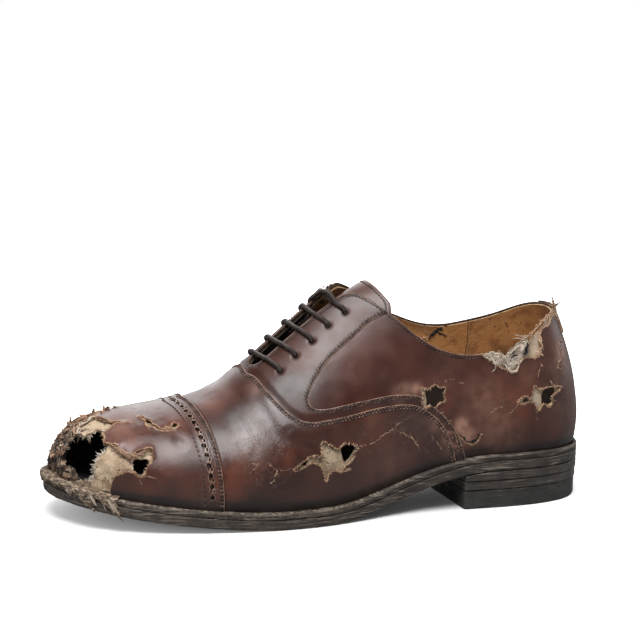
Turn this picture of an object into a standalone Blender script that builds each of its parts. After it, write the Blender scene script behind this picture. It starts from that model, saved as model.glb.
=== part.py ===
"""Worn brown leather cap-toe Oxford, left shoe, standing empty on its sole.

Working sizes are millimetres on the last: x runs from the heel back (0) to the toe tip,
y is positive on the outer (little toe) side and z is up from the floor.
Every mesh is moved to the part's own origin and scaled to metres when it is made.
"""
import math
from collections import namedtuple

import bmesh
import bpy
import numpy as np

MM = 0.001
ORIGIN = (148.5, 0.3, 0.0)      # middle of the sole's box, on the floor

# Sole, heel and floor line
SEAT_HEIGHT = 20.3              # underside of the outsole over the heel
ARCH_START = 58.0
ARCH_LENGTH = 100.0
SPRING_START = 188.0
SPRING_LENGTH = 112.0
TOE_SPRING = 13.7
SPRING_POWER = 1.4
OUTSOLE_THICK = 5.4
WELT_THICK = 3.0
GAP = 0.3                       # between neighbouring pieces
FEATHER_HEIGHT = OUTSOLE_THICK + WELT_THICK + 2 * GAP
WELT_INNER = 3.0                # how far the welt reaches in under the upper
INSOLE_THICK = 4.0
BREAST_X = 76.5
TOP_PIECE_HEIGHT = 10.0
LIFT_COUNT = 2
HEEL_TAPER = 0.5                # each layer steps in by this much
HEEL_END_TURN = 4.0             # outline stations of the heel stop just past its breast
HEEL_WEAR = 1.6                 # height worn off the back edge of the top piece
HEEL_WEAR_LENGTH = 16.0

# Upper
WALL = 2.2
CAP_CLEARANCE = 0.45
CAP_THICK = 1.2
CAP_FOOT_CLIMB = 0.015
THROAT_X = 187.5
THROAT_HALF_WIDTH = 5.5
THROAT_CORNER = 7.0               # radius of the facing's top corner
THROAT_ROUND = 5.0
THROAT_REAR_X = 100.0           # behind this the opening is the collar alone
THROAT_Y = 0.9                    # middle of the gap, which lies to the outer side of the ridge
EYELET_RADIUS = 2.3
LACE_RADIUS = 1.1
LACE_LIFT = LACE_RADIUS + 0.4
LACE_DEPTH = WALL + LACE_RADIUS + 0.4
LACE_PAST_EYELET = 0.018        # climb at which a lace bar has come out of its eyelet
LACE_OUTER_EDGE = 0.865         # climb at which a bar leaves the outer facing
LACE_INNER_EDGE = 0.985         # climb at which it meets the inner facing
TONGUE_THICK = 2.0
TONGUE_DEPTH = LACE_DEPTH + LACE_RADIUS + 0.4
TONGUE_SEAT_DEPTH = WALL + GAP

Section = namedtuple("Section", "name x_foot y_foot x_top y_top z_top flare rise lean reach slope welt")
SECTIONS = (
    Section("heel_back", 0.0, -1.0, 26.0, -2.0, 130.0, 16, 0.30, 64, 0.28, 0.0, 1.6),
    Section("heel_rear_out", 6.0, 21.5, 30.0, 14.0, 130.0, 14, 0.30, 68, 0.30, 0.0, 2.4),
    Section("heel_out", 33.0, 34.0, 46.0, 21.0, 130.0, 10, 0.32, 74, 0.30, 0.0, 3.0),
    Section("breast_out", 72.0, 33.5, 72.0, 21.5, 130.0, 9, 0.33, 72, 0.30, 0.0, 3.5),
    Section("waist_out", 104.0, 32.0, 101.0, 13.0, 131.0, 8, 0.36, 52, 0.34, -0.2, 4.2),
    Section("arch_out", 130.0, 38.0, 126.0, -2.5, 127.0, 8, 0.40, 12, 0.40, -0.6, 5.2),
    Section("instep_out", 155.0, 46.0, 155.0, -4.0, 106.5, 8, 0.46, 0, 0.42, -0.9, 5.6),
    Section("ball_out", 181.0, 49.8, 183.0, -4.0, 81.0, 10, 0.50, 0, 0.45, -0.8, 5.6),
    Section("vamp_out", 207.0, 48.0, 208.0, -4.2, 62.5, 10, 0.60, 0, 0.50, -0.42, 5.6),
    Section("cap_out", 233.0, 45.0, 231.0, -4.6, 57.2, 10, 0.70, 0, 0.52, -0.16, 5.6),
    Section("toe_out", 261.0, 38.0, 252.0, -5.0, 54.2, 9, 0.73, 0, 0.55, -0.14, 5.4),
    Section("tip_out", 285.0, 20.5, 252.0, -5.0, 54.2, 9, 0.76, 0, 0.55, -0.14, 4.8),
    Section("toe_tip", 295.5, -6.0, 252.0, -5.0, 54.2, 9, 0.76, 0, 0.55, -0.14, 4.4),
    Section("tip_in", 287.0, -30.0, 252.0, -5.0, 54.2, 9, 0.76, 0, 0.55, -0.14, 4.8),
    Section("toe_in", 262.0, -44.5, 252.0, -5.0, 54.2, 9, 0.73, 0, 0.55, -0.14, 5.2),
    Section("cap_in", 234.0, -49.0, 231.0, -4.6, 57.2, 10, 0.70, 0, 0.52, -0.16, 5.2),
    Section("vamp_in", 208.0, -49.0, 208.0, -4.2, 62.5, 10, 0.60, 0, 0.50, -0.42, 5.2),
    Section("ball_in", 182.0, -42.0, 183.0, -4.0, 81.0, 10, 0.50, 0, 0.45, -0.8, 5.0),
    Section("instep_in", 156.0, -32.0, 155.0, -4.0, 106.5, 14, 0.46, 0, 0.42, -0.9, 4.2),
    Section("arch_in", 130.0, -26.0, 126.0, -5.5, 127.0, 15, 0.40, 12, 0.40, -0.6, 3.4),
    Section("waist_in", 103.0, -26.5, 101.0, -17.0, 131.0, 14, 0.36, 54, 0.34, -0.2, 3.0),
    Section("breast_in", 73.0, -30.0, 72.0, -24.0, 130.0, 11, 0.33, 74, 0.30, 0.0, 3.0),
    Section("heel_in", 33.0, -34.5, 46.0, -23.5, 130.0, 10, 0.32, 76, 0.30, 0.0, 3.0),
    Section("heel_rear_in", 6.0, -22.5, 30.0, -17.0, 130.0, 14, 0.30, 68, 0.30, 0.0, 2.4),
)
TABLE = np.array([section[1:] for section in SECTIONS])
TURNS = len(SECTIONS)           # one turn unit per section, all the way round
TOE_TURN = TURNS / 2

CollarPoint = namedtuple("CollarPoint", "x outer_z inner_z")
COLLAR = (
    CollarPoint(10.0, 104.5, 105.0),
    CollarPoint(20.0, 101.5, 101.5),
    CollarPoint(38.0, 91.0, 94.0),
    CollarPoint(53.0, 86.0, 90.3),
    CollarPoint(68.0, 84.0, 88.4),
    CollarPoint(80.0, 84.5, 89.8),
    CollarPoint(92.0, 88.0, 94.0),
    CollarPoint(104.0, 95.5, 99.5),
    CollarPoint(117.0, 106.6, 108.0),
    CollarPoint(126.0, 113.0, 113.5),
    CollarPoint(134.0, 117.0, 117.0),
    CollarPoint(141.0, 119.0, 119.0),
    CollarPoint(150.0, 122.5, 122.5),
)

# Outlines of the tears, as (turn, climb) on the last
TOE_HOLE = ((12.15, 0.16), (12.05, 0.32), (11.80, 0.45), (11.40, 0.52), (10.90, 0.55), (10.62, 0.46),
            (10.52, 0.39), (10.74, 0.31), (10.76, 0.20), (10.74, 0.12), (11.15, 0.08), (11.60, 0.11))
TOE_SIDE_HOLE = ((9.96, 0.30), (9.74, 0.31), (9.80, 0.24), (9.90, 0.195), (9.98, 0.235))
VAMP_HOLE = ((5.74, 0.215), (5.56, 0.225), (5.42, 0.20), (5.50, 0.175), (5.68, 0.165))
VAMP_SLIT = ((6.67, 0.205), (6.60, 0.222), (6.50, 0.207), (6.60, 0.195))
QUARTER_HOLE = ((3.95, 0.33), (3.90, 0.375), (3.75, 0.395), (3.60, 0.38), (3.54, 0.34), (3.60, 0.305),
                (3.73, 0.292), (3.88, 0.30))
HEEL_HOLE = ((1.90, 0.32), (1.68, 0.335), (1.65, 0.30), (1.78, 0.27), (1.84, 0.25), (1.92, 0.27))
HEEL_SLIT = ((2.26, 0.275), (2.20, 0.297), (2.15, 0.28), (2.20, 0.267))
COLLAR_TEAR = ((2.95, 0.80), (2.90, 0.53), (2.62, 0.46), (2.40, 0.435), (2.25, 0.48), (2.15, 0.505),
               (1.82, 0.51), (1.70, 0.62), (1.25, 0.67), (0.85, 0.695), (0.80, 0.80), (1.80, 0.85))
CAP_TEAR = ((12.45, -0.05), (12.30, 0.12), (12.12, 0.33), (12.05, 0.52), (11.85, 0.64), (11.40, 0.71),
            (10.90, 0.68), (10.55, 0.67), (10.70, 0.56), (10.62, 0.45), (10.32, 0.41), (10.14, 0.335),
            (9.92, 0.35), (9.66, 0.39), (9.70, 0.29), (9.84, 0.19), (9.98, 0.21), (10.22, 0.175),
            (10.36, 0.12), (10.40, -0.05), (11.40, -0.06))
UPPER_HOLES = (
    ("toe_hole", TOE_HOLE),
    ("toe_side_hole", TOE_SIDE_HOLE),
    ("vamp_hole", VAMP_HOLE),
    ("vamp_slit", VAMP_SLIT),
    ("quarter_hole", QUARTER_HOLE),
    ("heel_hole", HEEL_HOLE),
    ("heel_slit", HEEL_SLIT),
    ("collar_tear", COLLAR_TEAR),
)

# Eyelets on the outer facing, toe end first; on the inner facing they sit nearer the ridge and the toe
EYELETS = ((6.78, 0.690), (6.45, 0.705), (6.11, 0.715), (5.77, 0.735), (5.42, 0.755))
INNER_EYELET_CLIMB = 0.85
INNER_EYELET_FORWARD = 0.30

TonguePoint = namedtuple("TonguePoint", "turn edge_climb depth")
TONGUE = (
    TonguePoint(4.50, 0.62, 4.0),
    TonguePoint(4.80, 0.63, 4.6),
    TonguePoint(5.20, 0.64, TONGUE_DEPTH),
    TonguePoint(5.80, 0.66, TONGUE_DEPTH),
    TonguePoint(6.40, 0.69, TONGUE_DEPTH),
    TonguePoint(7.14, 0.745, TONGUE_DEPTH),
    TonguePoint(7.30, 0.763, 4.3),
    TonguePoint(7.50, 0.78, TONGUE_SEAT_DEPTH),
    TonguePoint(8.00, 0.82, TONGUE_SEAT_DEPTH),
)
TONGUE_TOP = (124.0, 121.7)     # x and z of the top edge on the centre line
TONGUE_LINE = (-0.74, 0.67)     # direction of the instep, up and back

CAP_SEAM_TURN = 8.28
CAP_SEAM_SWEEP = 0.33           # the seam moves forward by this much up to the ridge
TAB_HALF_TURN = 0.60
TAB_LOW_CLIMB = 0.585

Finish = namedtuple("Finish", "colour roughness metallic")
FINISHES = {
    "upper_leather": Finish((0.105, 0.045, 0.033), 0.34, 0.0),
    "cap_leather": Finish((0.098, 0.040, 0.030), 0.32, 0.0),
    "tongue_leather": Finish((0.110, 0.050, 0.038), 0.42, 0.0),
    "sole_leather": Finish((0.030, 0.026, 0.023), 0.55, 0.0),
    "welt_leather": Finish((0.035, 0.030, 0.026), 0.58, 0.0),
    "heel_leather": Finish((0.033, 0.027, 0.023), 0.55, 0.0),
    "heel_rubber": Finish((0.022, 0.021, 0.020), 0.70, 0.0),
    "insole_leather": Finish((0.350, 0.230, 0.130), 0.72, 0.0),
    "lace_cotton": Finish((0.040, 0.030, 0.026), 0.60, 0.0),
}


def clear_scene():
    for thing in list(bpy.data.objects):
        bpy.data.objects.remove(thing, do_unlink=True)


def make_collection(name):
    group = bpy.data.collections.new(name)
    bpy.context.scene.collection.children.link(group)
    return group


def make_material(name):
    finish = FINISHES[name]
    material = bpy.data.materials.new(name)
    material.use_nodes = True
    shader = material.node_tree.nodes["Principled BSDF"]
    shader.inputs["Base Color"].default_value = (*finish.colour, 1.0)
    shader.inputs["Roughness"].default_value = finish.roughness
    shader.inputs["Metallic"].default_value = finish.metallic
    return material


# The last

def floor_line(x):
    """Height of the outsole's underside: heel seat, arch, flat tread and toe spring."""
    x = np.asarray(x, float)
    drop = np.clip((x - ARCH_START) / ARCH_LENGTH, 0.0, 1.0)
    spring = np.clip((x - SPRING_START) / SPRING_LENGTH, 0.0, 2.0)
    return SEAT_HEIGHT * (1.0 - drop * drop * (3.0 - 2.0 * drop)) + TOE_SPRING * spring ** SPRING_POWER


def section_at(turn):
    """The table's columns at any turn, blended with a closed cubic B-spline."""
    turn = np.asarray(turn, float) % TURNS
    row = np.floor(turn).astype(int)
    t = (turn - row)[..., None]
    weights = ((1 - t) ** 3 / 6, (3 * t ** 3 - 6 * t ** 2 + 4) / 6,
               (-3 * t ** 3 + 3 * t ** 2 + 3 * t + 1) / 6, t ** 3 / 6)
    return sum(weight * TABLE[(row + k - 1) % TURNS] for k, weight in enumerate(weights))


def last_point(turn, climb):
    """A point of the last: turn goes round the foot line, climb 0 to 1 up to the ridge or cone top."""
    turn, climb = np.broadcast_arrays(np.asarray(turn, float), np.asarray(climb, float))
    x, y, top_x, top_y, top_z, flare, rise, lean, reach, slope, _ = np.moveaxis(section_at(turn), -1, 0)
    foot_z = floor_line(x) + FEATHER_HEIGHT
    height = top_z - foot_z
    run = np.hypot(top_x - x, top_y - y)
    in_x, in_y = (top_x - x) / run, (top_y - y) / run
    flare, lean = np.radians(flare), np.radians(lean)
    foot = np.stack([x, y, foot_z], -1)
    top = np.stack([top_x, top_y, top_z], -1)
    out_up = np.stack([-in_x * np.sin(flare), -in_y * np.sin(flare), np.cos(flare)], -1)
    over = np.stack([in_x * np.cos(lean), in_y * np.cos(lean),
                     np.sin(lean) + in_x * slope * np.cos(lean)], -1)
    low = foot + out_up * (rise * height)[..., None]
    high = top - over * (reach * (run * np.cos(lean) + height * np.sin(lean)))[..., None]
    t = climb[..., None]
    return foot * (1 - t) ** 3 + 3 * low * t * (1 - t) ** 2 + 3 * high * t * t * (1 - t) + top * t ** 3


def last_normal(turn, climb):
    """Outward direction, drawn to the ridge's own direction where both sides meet."""
    turn, climb = np.broadcast_arrays(np.asarray(turn, float), np.asarray(climb, float))
    near = np.minimum(climb, 0.97)
    along = last_point(turn + 0.01, near) - last_point(turn - 0.01, near)
    upward = last_point(turn, near + 0.01) - last_point(turn, near - 0.01)
    normal = np.cross(upward, along)
    normal /= np.linalg.norm(normal, axis=-1, keepdims=True)
    columns = section_at(turn)
    slope, lean = columns[..., 9], columns[..., 7]
    ridge = np.stack([-slope, 0 * slope, 1 + 0 * slope], -1)
    ridge /= np.linalg.norm(ridge, axis=-1, keepdims=True)
    t = np.clip((climb - 0.94) / 0.06, 0.0, 1.0) * np.clip(1.0 - lean / 20.0, 0.0, 1.0)
    normal = normal * (1 - t[..., None]) + ridge * t[..., None]
    return normal / np.linalg.norm(normal, axis=-1, keepdims=True)


def surface(turn, climb, out=0.0):
    """A point that lies out from the last by the given distance."""
    return last_point(turn, climb) + last_normal(turn, climb) * out


def outline(turn, out=0.0):
    """Plan outline of the foot line, moved outward; out may be a number or "welt"."""
    here = section_at(turn)
    step = section_at(np.asarray(turn) + 0.01)[..., :2] - section_at(np.asarray(turn) - 0.01)[..., :2]
    step /= np.linalg.norm(step, axis=-1, keepdims=True)
    outward = np.stack([-step[..., 1], step[..., 0]], -1)
    return here[..., :2] + outward * (here[..., 10:] if out == "welt" else out)


def smooth_curve(xs, ys, x):
    """Cubic curve through the points, with slopes from each point's neighbours."""
    slopes = np.gradient(ys, xs)
    row = np.clip(np.searchsorted(xs, x, side="right") - 1, 0, len(xs) - 2)
    span = xs[row + 1] - xs[row]
    t = np.clip((x - xs[row]) / span, 0.0, 1.0)
    return (ys[row] * (1 + 2 * t) * (1 - t) ** 2 + slopes[row] * span * t * (1 - t) ** 2
            + ys[row + 1] * t * t * (3 - 2 * t) + slopes[row + 1] * span * t * t * (t - 1))


def collar_height(x, outer_side):
    xs = np.array([point.x for point in COLLAR])
    heights = np.array([point.outer_z if outer_side else point.inner_z for point in COLLAR])
    return smooth_curve(xs, heights, np.clip(x, xs[0], xs[-1]))


def throat_half_width(x):
    """Half the gap between the facings; it closes in a round end at the throat."""
    depth = np.clip((THROAT_X - x) / THROAT_ROUND, 0.0, 1.0)
    return THROAT_HALF_WIDTH * np.sqrt(1.0 - (1.0 - depth) ** 2)


def rim_climb(turn):
    """How high the upper reaches: to the collar, the facing edge, or right over the ridge."""
    climbs = np.linspace(0.3, 1.0, 281)
    points = last_point(turn, climbs)
    outer_side = turn % TURNS < TOE_TURN
    room = collar_height(points[:, 0], outer_side) - points[:, 2]
    room = np.where(points[:, 0] < COLLAR[-1].x, room, 2 * THROAT_CORNER)
    beside = np.abs(points[:, 1] - THROAT_Y) - throat_half_width(points[:, 0]) + 0.001
    corner = THROAT_CORNER - np.hypot(np.maximum(THROAT_CORNER - room, 0.0),
                                      np.maximum(THROAT_CORNER - beside, 0.0))
    room = np.where(points[:, 0] > THROAT_REAR_X, np.minimum(np.minimum(room, beside), corner), room)
    blocked = np.nonzero(room < 0)[0]
    if len(blocked) == 0:
        return 1.0
    k = blocked[0]
    return climbs[k - 1] + (climbs[k] - climbs[k - 1]) * room[k - 1] / (room[k - 1] - room[k])


# Mesh making

def make_object(name, mesh_data, group, material=None):
    """Finish a bmesh as a named object in metres at the part's origin."""
    for vertex in mesh_data.verts:
        vertex.co = [(vertex.co[axis] - ORIGIN[axis]) * MM for axis in range(3)]
    mesh = bpy.data.meshes.new(name)
    mesh_data.to_mesh(mesh)
    mesh_data.free()
    mesh.shade_smooth()
    mesh.set_sharp_from_angle(angle=math.radians(40))
    thing = bpy.data.objects.new(name, mesh)
    group.objects.link(thing)
    if material:
        mesh.materials.append(material)
    return thing


def grid_sheet(rows, closed):
    """Open sheet of quads from equal rows of points; closed joins the last row to the first."""
    sheet = bmesh.new()
    lines = [[sheet.verts.new(point) for point in row] for row in rows]
    pairs = zip(lines, lines[1:] + lines[:1]) if closed else zip(lines, lines[1:])
    for line, following in pairs:
        for k in range(len(line) - 1):
            sheet.faces.new((line[k], line[k + 1], following[k + 1], following[k]))
    bmesh.ops.remove_doubles(sheet, verts=sheet.verts, dist=0.04)
    return sheet


def add_solidify(thing, thickness, offset):
    shell = thing.modifiers.new("wall", "SOLIDIFY")
    shell.thickness = thickness * MM
    shell.offset = offset
    shell.use_even_offset = True


def add_cut(thing, cutter):
    cut = thing.modifiers.new(cutter.name, "BOOLEAN")
    cut.operation = "DIFFERENCE"
    cut.solver = "EXACT"
    cut.object = cutter


def make_cutter(name, outline_points, group, lift=4.0, depth=7.0):
    """A plug over a (turn, climb) outline, bulging with the last from above it to below it."""
    rim = np.array(outline_points)
    middle = rim.mean(axis=0)
    rings = [middle + (rim - middle) * scale for scale in (1.0, 0.66, 0.33)]
    plug = bmesh.new()
    layers = []
    for out in (lift, -depth):
        loops = [[plug.verts.new(surface(turn, climb, out)) for turn, climb in ring] for ring in rings]
        hub = plug.verts.new(surface(middle[0], middle[1], out))
        layers.append(loops)
        for wide, narrow in zip(loops, loops[1:]):
            for k in range(len(wide)):
                plug.faces.new((wide[k - 1], wide[k], narrow[k], narrow[k - 1]))
        for k in range(len(rim)):
            plug.faces.new((loops[-1][k - 1], loops[-1][k], hub))
    for k in range(len(rim)):
        plug.faces.new((layers[0][0][k - 1], layers[0][0][k], layers[1][0][k], layers[1][0][k - 1]))
    bmesh.ops.recalc_face_normals(plug, faces=plug.faces)
    cutter = make_object(name, plug, group)
    cutter.hide_render = True
    cutter.display_type = "WIRE"
    return cutter


def make_round_cutter(name, turn, climb, group):
    """A straight drill through the wall, square to the last at that point."""
    centre = surface(turn, climb)
    axis = last_normal(turn, climb)
    side = np.cross(axis, (1.0, 0.0, 0.0))
    side /= np.linalg.norm(side)
    other = np.cross(axis, side)
    drill = bmesh.new()
    bmesh.ops.create_cone(drill, cap_ends=True, segments=14, radius1=EYELET_RADIUS, radius2=EYELET_RADIUS,
                          depth=12.0)
    for vertex in drill.verts:
        x, y, z = vertex.co
        vertex.co = centre + side * x + other * y + axis * z
    cutter = make_object(name, drill, group)
    cutter.hide_render = True
    cutter.display_type = "WIRE"
    return cutter


def plate_mesh(last_turn, count, out, low, high, taper=0.0):
    """Closed plate between two heights that follow x, laid over paired outline stations.

    The stations run from the heel back to last_turn on both sides; taper draws the outline in
    towards the middle of the heel.
    """
    plate = bmesh.new()
    heel_middle = np.array([BREAST_X / 2, 0.0])
    rungs = []
    for turn in np.linspace(0.0, last_turn, count + 1):
        rung = []
        for here in (turn, -turn):
            place = outline(here, out)
            inward = heel_middle - place
            x, y = place + inward / np.linalg.norm(inward) * taper
            rung.append([plate.verts.new((x, y, height(x))) for height in (low, high)])
        rungs.append(rung)
    for (out_a, in_a), (out_b, in_b) in zip(rungs, rungs[1:]):
        plate.faces.new((out_a[1], in_a[1], in_b[1], out_b[1]))
        plate.faces.new((out_b[0], in_b[0], in_a[0], out_a[0]))
        plate.faces.new((out_a[0], out_a[1], out_b[1], out_b[0]))
        plate.faces.new((in_b[0], in_b[1], in_a[1], in_a[0]))
    bmesh.ops.remove_doubles(plate, verts=plate.verts, dist=0.01)
    return plate


# Sub-parts

def build_outsole(group):
    plate = plate_mesh(TOE_TURN, 48, "welt", floor_line, lambda x: floor_line(x) + OUTSOLE_THICK)
    bmesh.ops.recalc_face_normals(plate, faces=plate.faces)
    return make_object("outsole", plate, group, make_material("sole_leather"))


def build_insole(group):
    base = OUTSOLE_THICK + GAP
    plate = plate_mesh(TOE_TURN, 40, -WELT_INNER - GAP, lambda x: floor_line(x) + base,
                       lambda x: floor_line(x) + base + INSOLE_THICK)
    bmesh.ops.recalc_face_normals(plate, faces=plate.faces)
    return make_object("insole", plate, group, make_material("insole_leather"))


def build_welt(group):
    turns = np.linspace(0, TURNS, 97)[:-1]
    outer, inner = outline(turns, "welt"), outline(turns, -WELT_INNER)
    ring = bmesh.new()
    loops = []
    for plan, lift in ((outer, 0.0), (outer, WELT_THICK), (inner, WELT_THICK), (inner, 0.0)):
        heights = floor_line(plan[:, 0]) + OUTSOLE_THICK + GAP + lift
        loops.append([ring.verts.new((x, y, z)) for (x, y), z in zip(plan, heights)])
    for loop, following in zip(loops, loops[1:] + loops[:1]):
        for k in range(len(loop)):
            ring.faces.new((loop[k - 1], loop[k], following[k], following[k - 1]))
    bmesh.ops.recalc_face_normals(ring, faces=ring.faces)
    return make_object("welt", ring, group, make_material("welt_leather"))


def heel_layer(name, low, high, taper, group, material):
    """One layer of the heel: the rear of the sole's outline, cut off square at the breast."""
    layer = plate_mesh(HEEL_END_TURN, 20, "welt", low, high, taper)
    everything = layer.verts[:] + layer.edges[:] + layer.faces[:]
    cut = bmesh.ops.bisect_plane(layer, geom=everything, dist=0.001, plane_co=(BREAST_X, 0, 0),
                                 plane_no=(1, 0, 0), clear_outer=True)
    edges = [piece for piece in cut["geom_cut"] if isinstance(piece, bmesh.types.BMEdge)]
    bmesh.ops.edgeloop_fill(layer, edges=edges)
    bmesh.ops.recalc_face_normals(layer, faces=layer.faces)
    return make_object(name, layer, group, material)


def worn_tread(x):
    """Underside of the top piece, worn away towards the back edge."""
    t = np.clip(1.0 - x / HEEL_WEAR_LENGTH, 0.0, 1.0)
    return HEEL_WEAR * t * t


def build_heel(group):
    """Top piece on the ground and the lifts above it, each stepping out a little."""
    heel_layer("heel_top_piece", worn_tread, lambda x: TOP_PIECE_HEIGHT + 0 * x, LIFT_COUNT * HEEL_TAPER,
               group, make_material("heel_rubber"))
    leather = make_material("heel_leather")
    lift_height = (SEAT_HEIGHT - TOP_PIECE_HEIGHT) / LIFT_COUNT
    for index in range(LIFT_COUNT):
        base = TOP_PIECE_HEIGHT + index * lift_height + GAP
        ceiling = base + lift_height - GAP if index < LIFT_COUNT - 1 else SEAT_HEIGHT
        heel_layer(f"heel_lift_{index + 1}", lambda x, z=base: z + 0 * x,
                   lambda x, z=ceiling: np.minimum(z, floor_line(x) - GAP),
                   (LIFT_COUNT - 1 - index) * HEEL_TAPER, group, leather)


def build_upper(group, cutters):
    """The hollow shell over the last, open at collar, throat, tears and underneath."""
    rows = []
    for turn in np.linspace(0, TURNS, 4 * TURNS + 1)[:-1]:
        rows.append(surface(turn, np.linspace(0.0, rim_climb(turn), 14)))
    upper = make_object("upper", grid_sheet(rows, closed=True), group, make_material("upper_leather"))
    add_solidify(upper, WALL, -1.0)
    for name, hole in UPPER_HOLES:
        add_cut(upper, make_cutter("cut_" + name, hole, cutters))
    for index, pair in enumerate(eyelet_pairs()):
        for label, place in zip(("outer", "inner"), pair):
            add_cut(upper, make_round_cutter(f"cut_eyelet_{label}_{index + 1}", *place, cutters))
    return upper


def build_toe_cap(group, cutters):
    """Overlay over the toe, from the cap seam forward, torn open at the tip."""
    climbs = np.linspace(CAP_FOOT_CLIMB, 1.0, 12)
    start = CAP_SEAM_TURN + CAP_SEAM_SWEEP * climbs ** 1.5
    rows = []
    for share in np.linspace(0.0, 1.0, 33):
        turns = start + (TURNS - 2 * start) * share
        rows.append(surface(turns, climbs, CAP_CLEARANCE))
    cap = make_object("toe_cap", grid_sheet(rows, closed=False), group, make_material("cap_leather"))
    add_solidify(cap, CAP_THICK, 1.0)
    add_cut(cap, make_cutter("cut_cap_tear", CAP_TEAR, cutters))
    return cap


def build_heel_tab(group):
    """Small stitched tab over the top of the back seam."""
    rows = []
    for turn in np.linspace(-TAB_HALF_TURN, TAB_HALF_TURN, 7):
        top = rim_climb(turn)
        rows.append(surface(turn, np.linspace(TAB_LOW_CLIMB, top, 4), CAP_CLEARANCE))
    tab = make_object("heel_tab", grid_sheet(rows, closed=False), group, make_material("tongue_leather"))
    add_solidify(tab, CAP_THICK, 1.0)
    return tab


def build_tongue(group):
    """Arched strip under the facings, seated under the vamp and cut square at its top."""
    xs = np.array([point.turn for point in TONGUE])
    edge = np.array([point.edge_climb for point in TONGUE])
    depth = np.array([point.depth for point in TONGUE])
    rows = []
    for turn in np.linspace(xs[0], xs[-1], 15):
        sink = -np.interp(turn, xs, depth)
        climbs = np.linspace(np.interp(turn, xs, edge), 1.0, 8)
        outer = surface(turn, climbs, sink)
        inner = surface(TURNS - turn, climbs[::-1], sink)
        middle = (outer[-1] + inner[0]) / 2
        rows.append(np.concatenate([outer[:-1], [middle], inner[1:]]))
    sheet = grid_sheet(rows, closed=False)
    everything = sheet.verts[:] + sheet.edges[:] + sheet.faces[:]
    bmesh.ops.bisect_plane(sheet, geom=everything, dist=0.001, plane_co=(TONGUE_TOP[0], 0, TONGUE_TOP[1]),
                           plane_no=(TONGUE_LINE[0], 0, TONGUE_LINE[1]), clear_outer=True)
    tongue = make_object("tongue", sheet, group, make_material("tongue_leather"))
    add_solidify(tongue, TONGUE_THICK, -1.0)
    return tongue


def eyelet_pairs():
    """Each outer eyelet with the inner one that its lace bar runs to."""
    return [((turn, climb), (TURNS - turn - INNER_EYELET_FORWARD, INNER_EYELET_CLIMB)) for turn, climb in EYELETS]


def lace_half(place, edge_climb, toward):
    """Half a bar: from under its eyelet up to the facing's edge, drifting towards the other eyelet."""
    turn, climb = place
    half = [surface(turn, climb, -LACE_DEPTH), surface(turn, climb, -LACE_DEPTH / 3),
            surface(turn, climb + LACE_PAST_EYELET, LACE_LIFT)]
    for share in (0.35, 0.7, 1.0):
        half.append(surface(turn + toward * share, climb + (edge_climb - climb) * share, LACE_LIFT))
    return half


def lace_route():
    """Slanting bars on top, joined by short runs under the facings, as one cord."""
    route = []
    for index, (outer, inner) in enumerate(eyelet_pairs()):
        drift = INNER_EYELET_FORWARD
        near = lace_half(outer, LACE_OUTER_EDGE, 0.35 * drift)
        far = lace_half(inner, LACE_INNER_EDGE, 0.30 * drift)
        bar = near + [near[-1] * (1 - share) + far[-1] * share for share in (0.35, 0.65)] + far[::-1]
        route += bar if index % 2 == 0 else bar[::-1]
    return np.array(route)


def build_laces(group):
    route = lace_route()
    curve = bpy.data.curves.new("laces", "CURVE")
    curve.dimensions = "3D"
    curve.bevel_depth = LACE_RADIUS * MM
    curve.bevel_resolution = 2
    curve.use_fill_caps = True
    spline = curve.splines.new("POLY")
    spline.points.add(len(route) - 1)
    for point, place in zip(spline.points, route):
        point.co = (*((place - np.array(ORIGIN)) * MM), 1.0)
    curve.materials.append(make_material("lace_cotton"))
    laces = bpy.data.objects.new("laces", curve)
    group.objects.link(laces)
    return laces


def main():
    clear_scene()
    shoe = make_collection("worn_leather_oxford")
    cutters = make_collection("cutters")
    build_outsole(shoe)
    build_welt(shoe)
    build_heel(shoe)
    build_insole(shoe)
    build_upper(shoe, cutters)
    build_toe_cap(shoe, cutters)
    build_heel_tab(shoe)
    build_tongue(shoe)
    build_laces(shoe)


main()
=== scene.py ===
"""Looks of a worn brown leather cap-toe Oxford for the left foot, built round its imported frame.

Working sizes are millimetres on the last: x runs from the heel back to the toe, y is positive on the
outer side and z is up from the floor. A place on the last is a turn (0 at the heel back, 12 at the toe
tip, 24 sections all the way round by the outer side first) and a climb (0 at the welt, 1 at the ridge).
Meshes are moved to the frame's own origin and scaled to metres when they are made.
"""

import logging
import math
from dataclasses import dataclass, field
from enum import Enum
from itertools import product
from typing import Callable, Sequence

import bpy
import numpy as np
from mathutils import Matrix, Vector, kdtree
from mathutils.bvhtree import BVHTree


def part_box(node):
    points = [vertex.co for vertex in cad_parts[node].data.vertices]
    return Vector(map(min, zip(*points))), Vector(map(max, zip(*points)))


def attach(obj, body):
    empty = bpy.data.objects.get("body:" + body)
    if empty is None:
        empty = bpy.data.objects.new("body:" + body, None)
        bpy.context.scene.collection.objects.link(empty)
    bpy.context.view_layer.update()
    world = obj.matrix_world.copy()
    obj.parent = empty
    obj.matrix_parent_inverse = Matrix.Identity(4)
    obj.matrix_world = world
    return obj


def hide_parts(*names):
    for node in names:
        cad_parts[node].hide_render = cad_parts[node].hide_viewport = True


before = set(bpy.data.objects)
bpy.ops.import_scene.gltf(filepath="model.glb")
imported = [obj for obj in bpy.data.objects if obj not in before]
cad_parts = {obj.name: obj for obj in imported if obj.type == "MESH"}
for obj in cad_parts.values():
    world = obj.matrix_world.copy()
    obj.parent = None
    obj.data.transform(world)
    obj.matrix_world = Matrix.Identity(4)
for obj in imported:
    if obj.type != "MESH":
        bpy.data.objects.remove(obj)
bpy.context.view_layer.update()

Array = np.ndarray
log = logging.getLogger("oxford")

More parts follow.
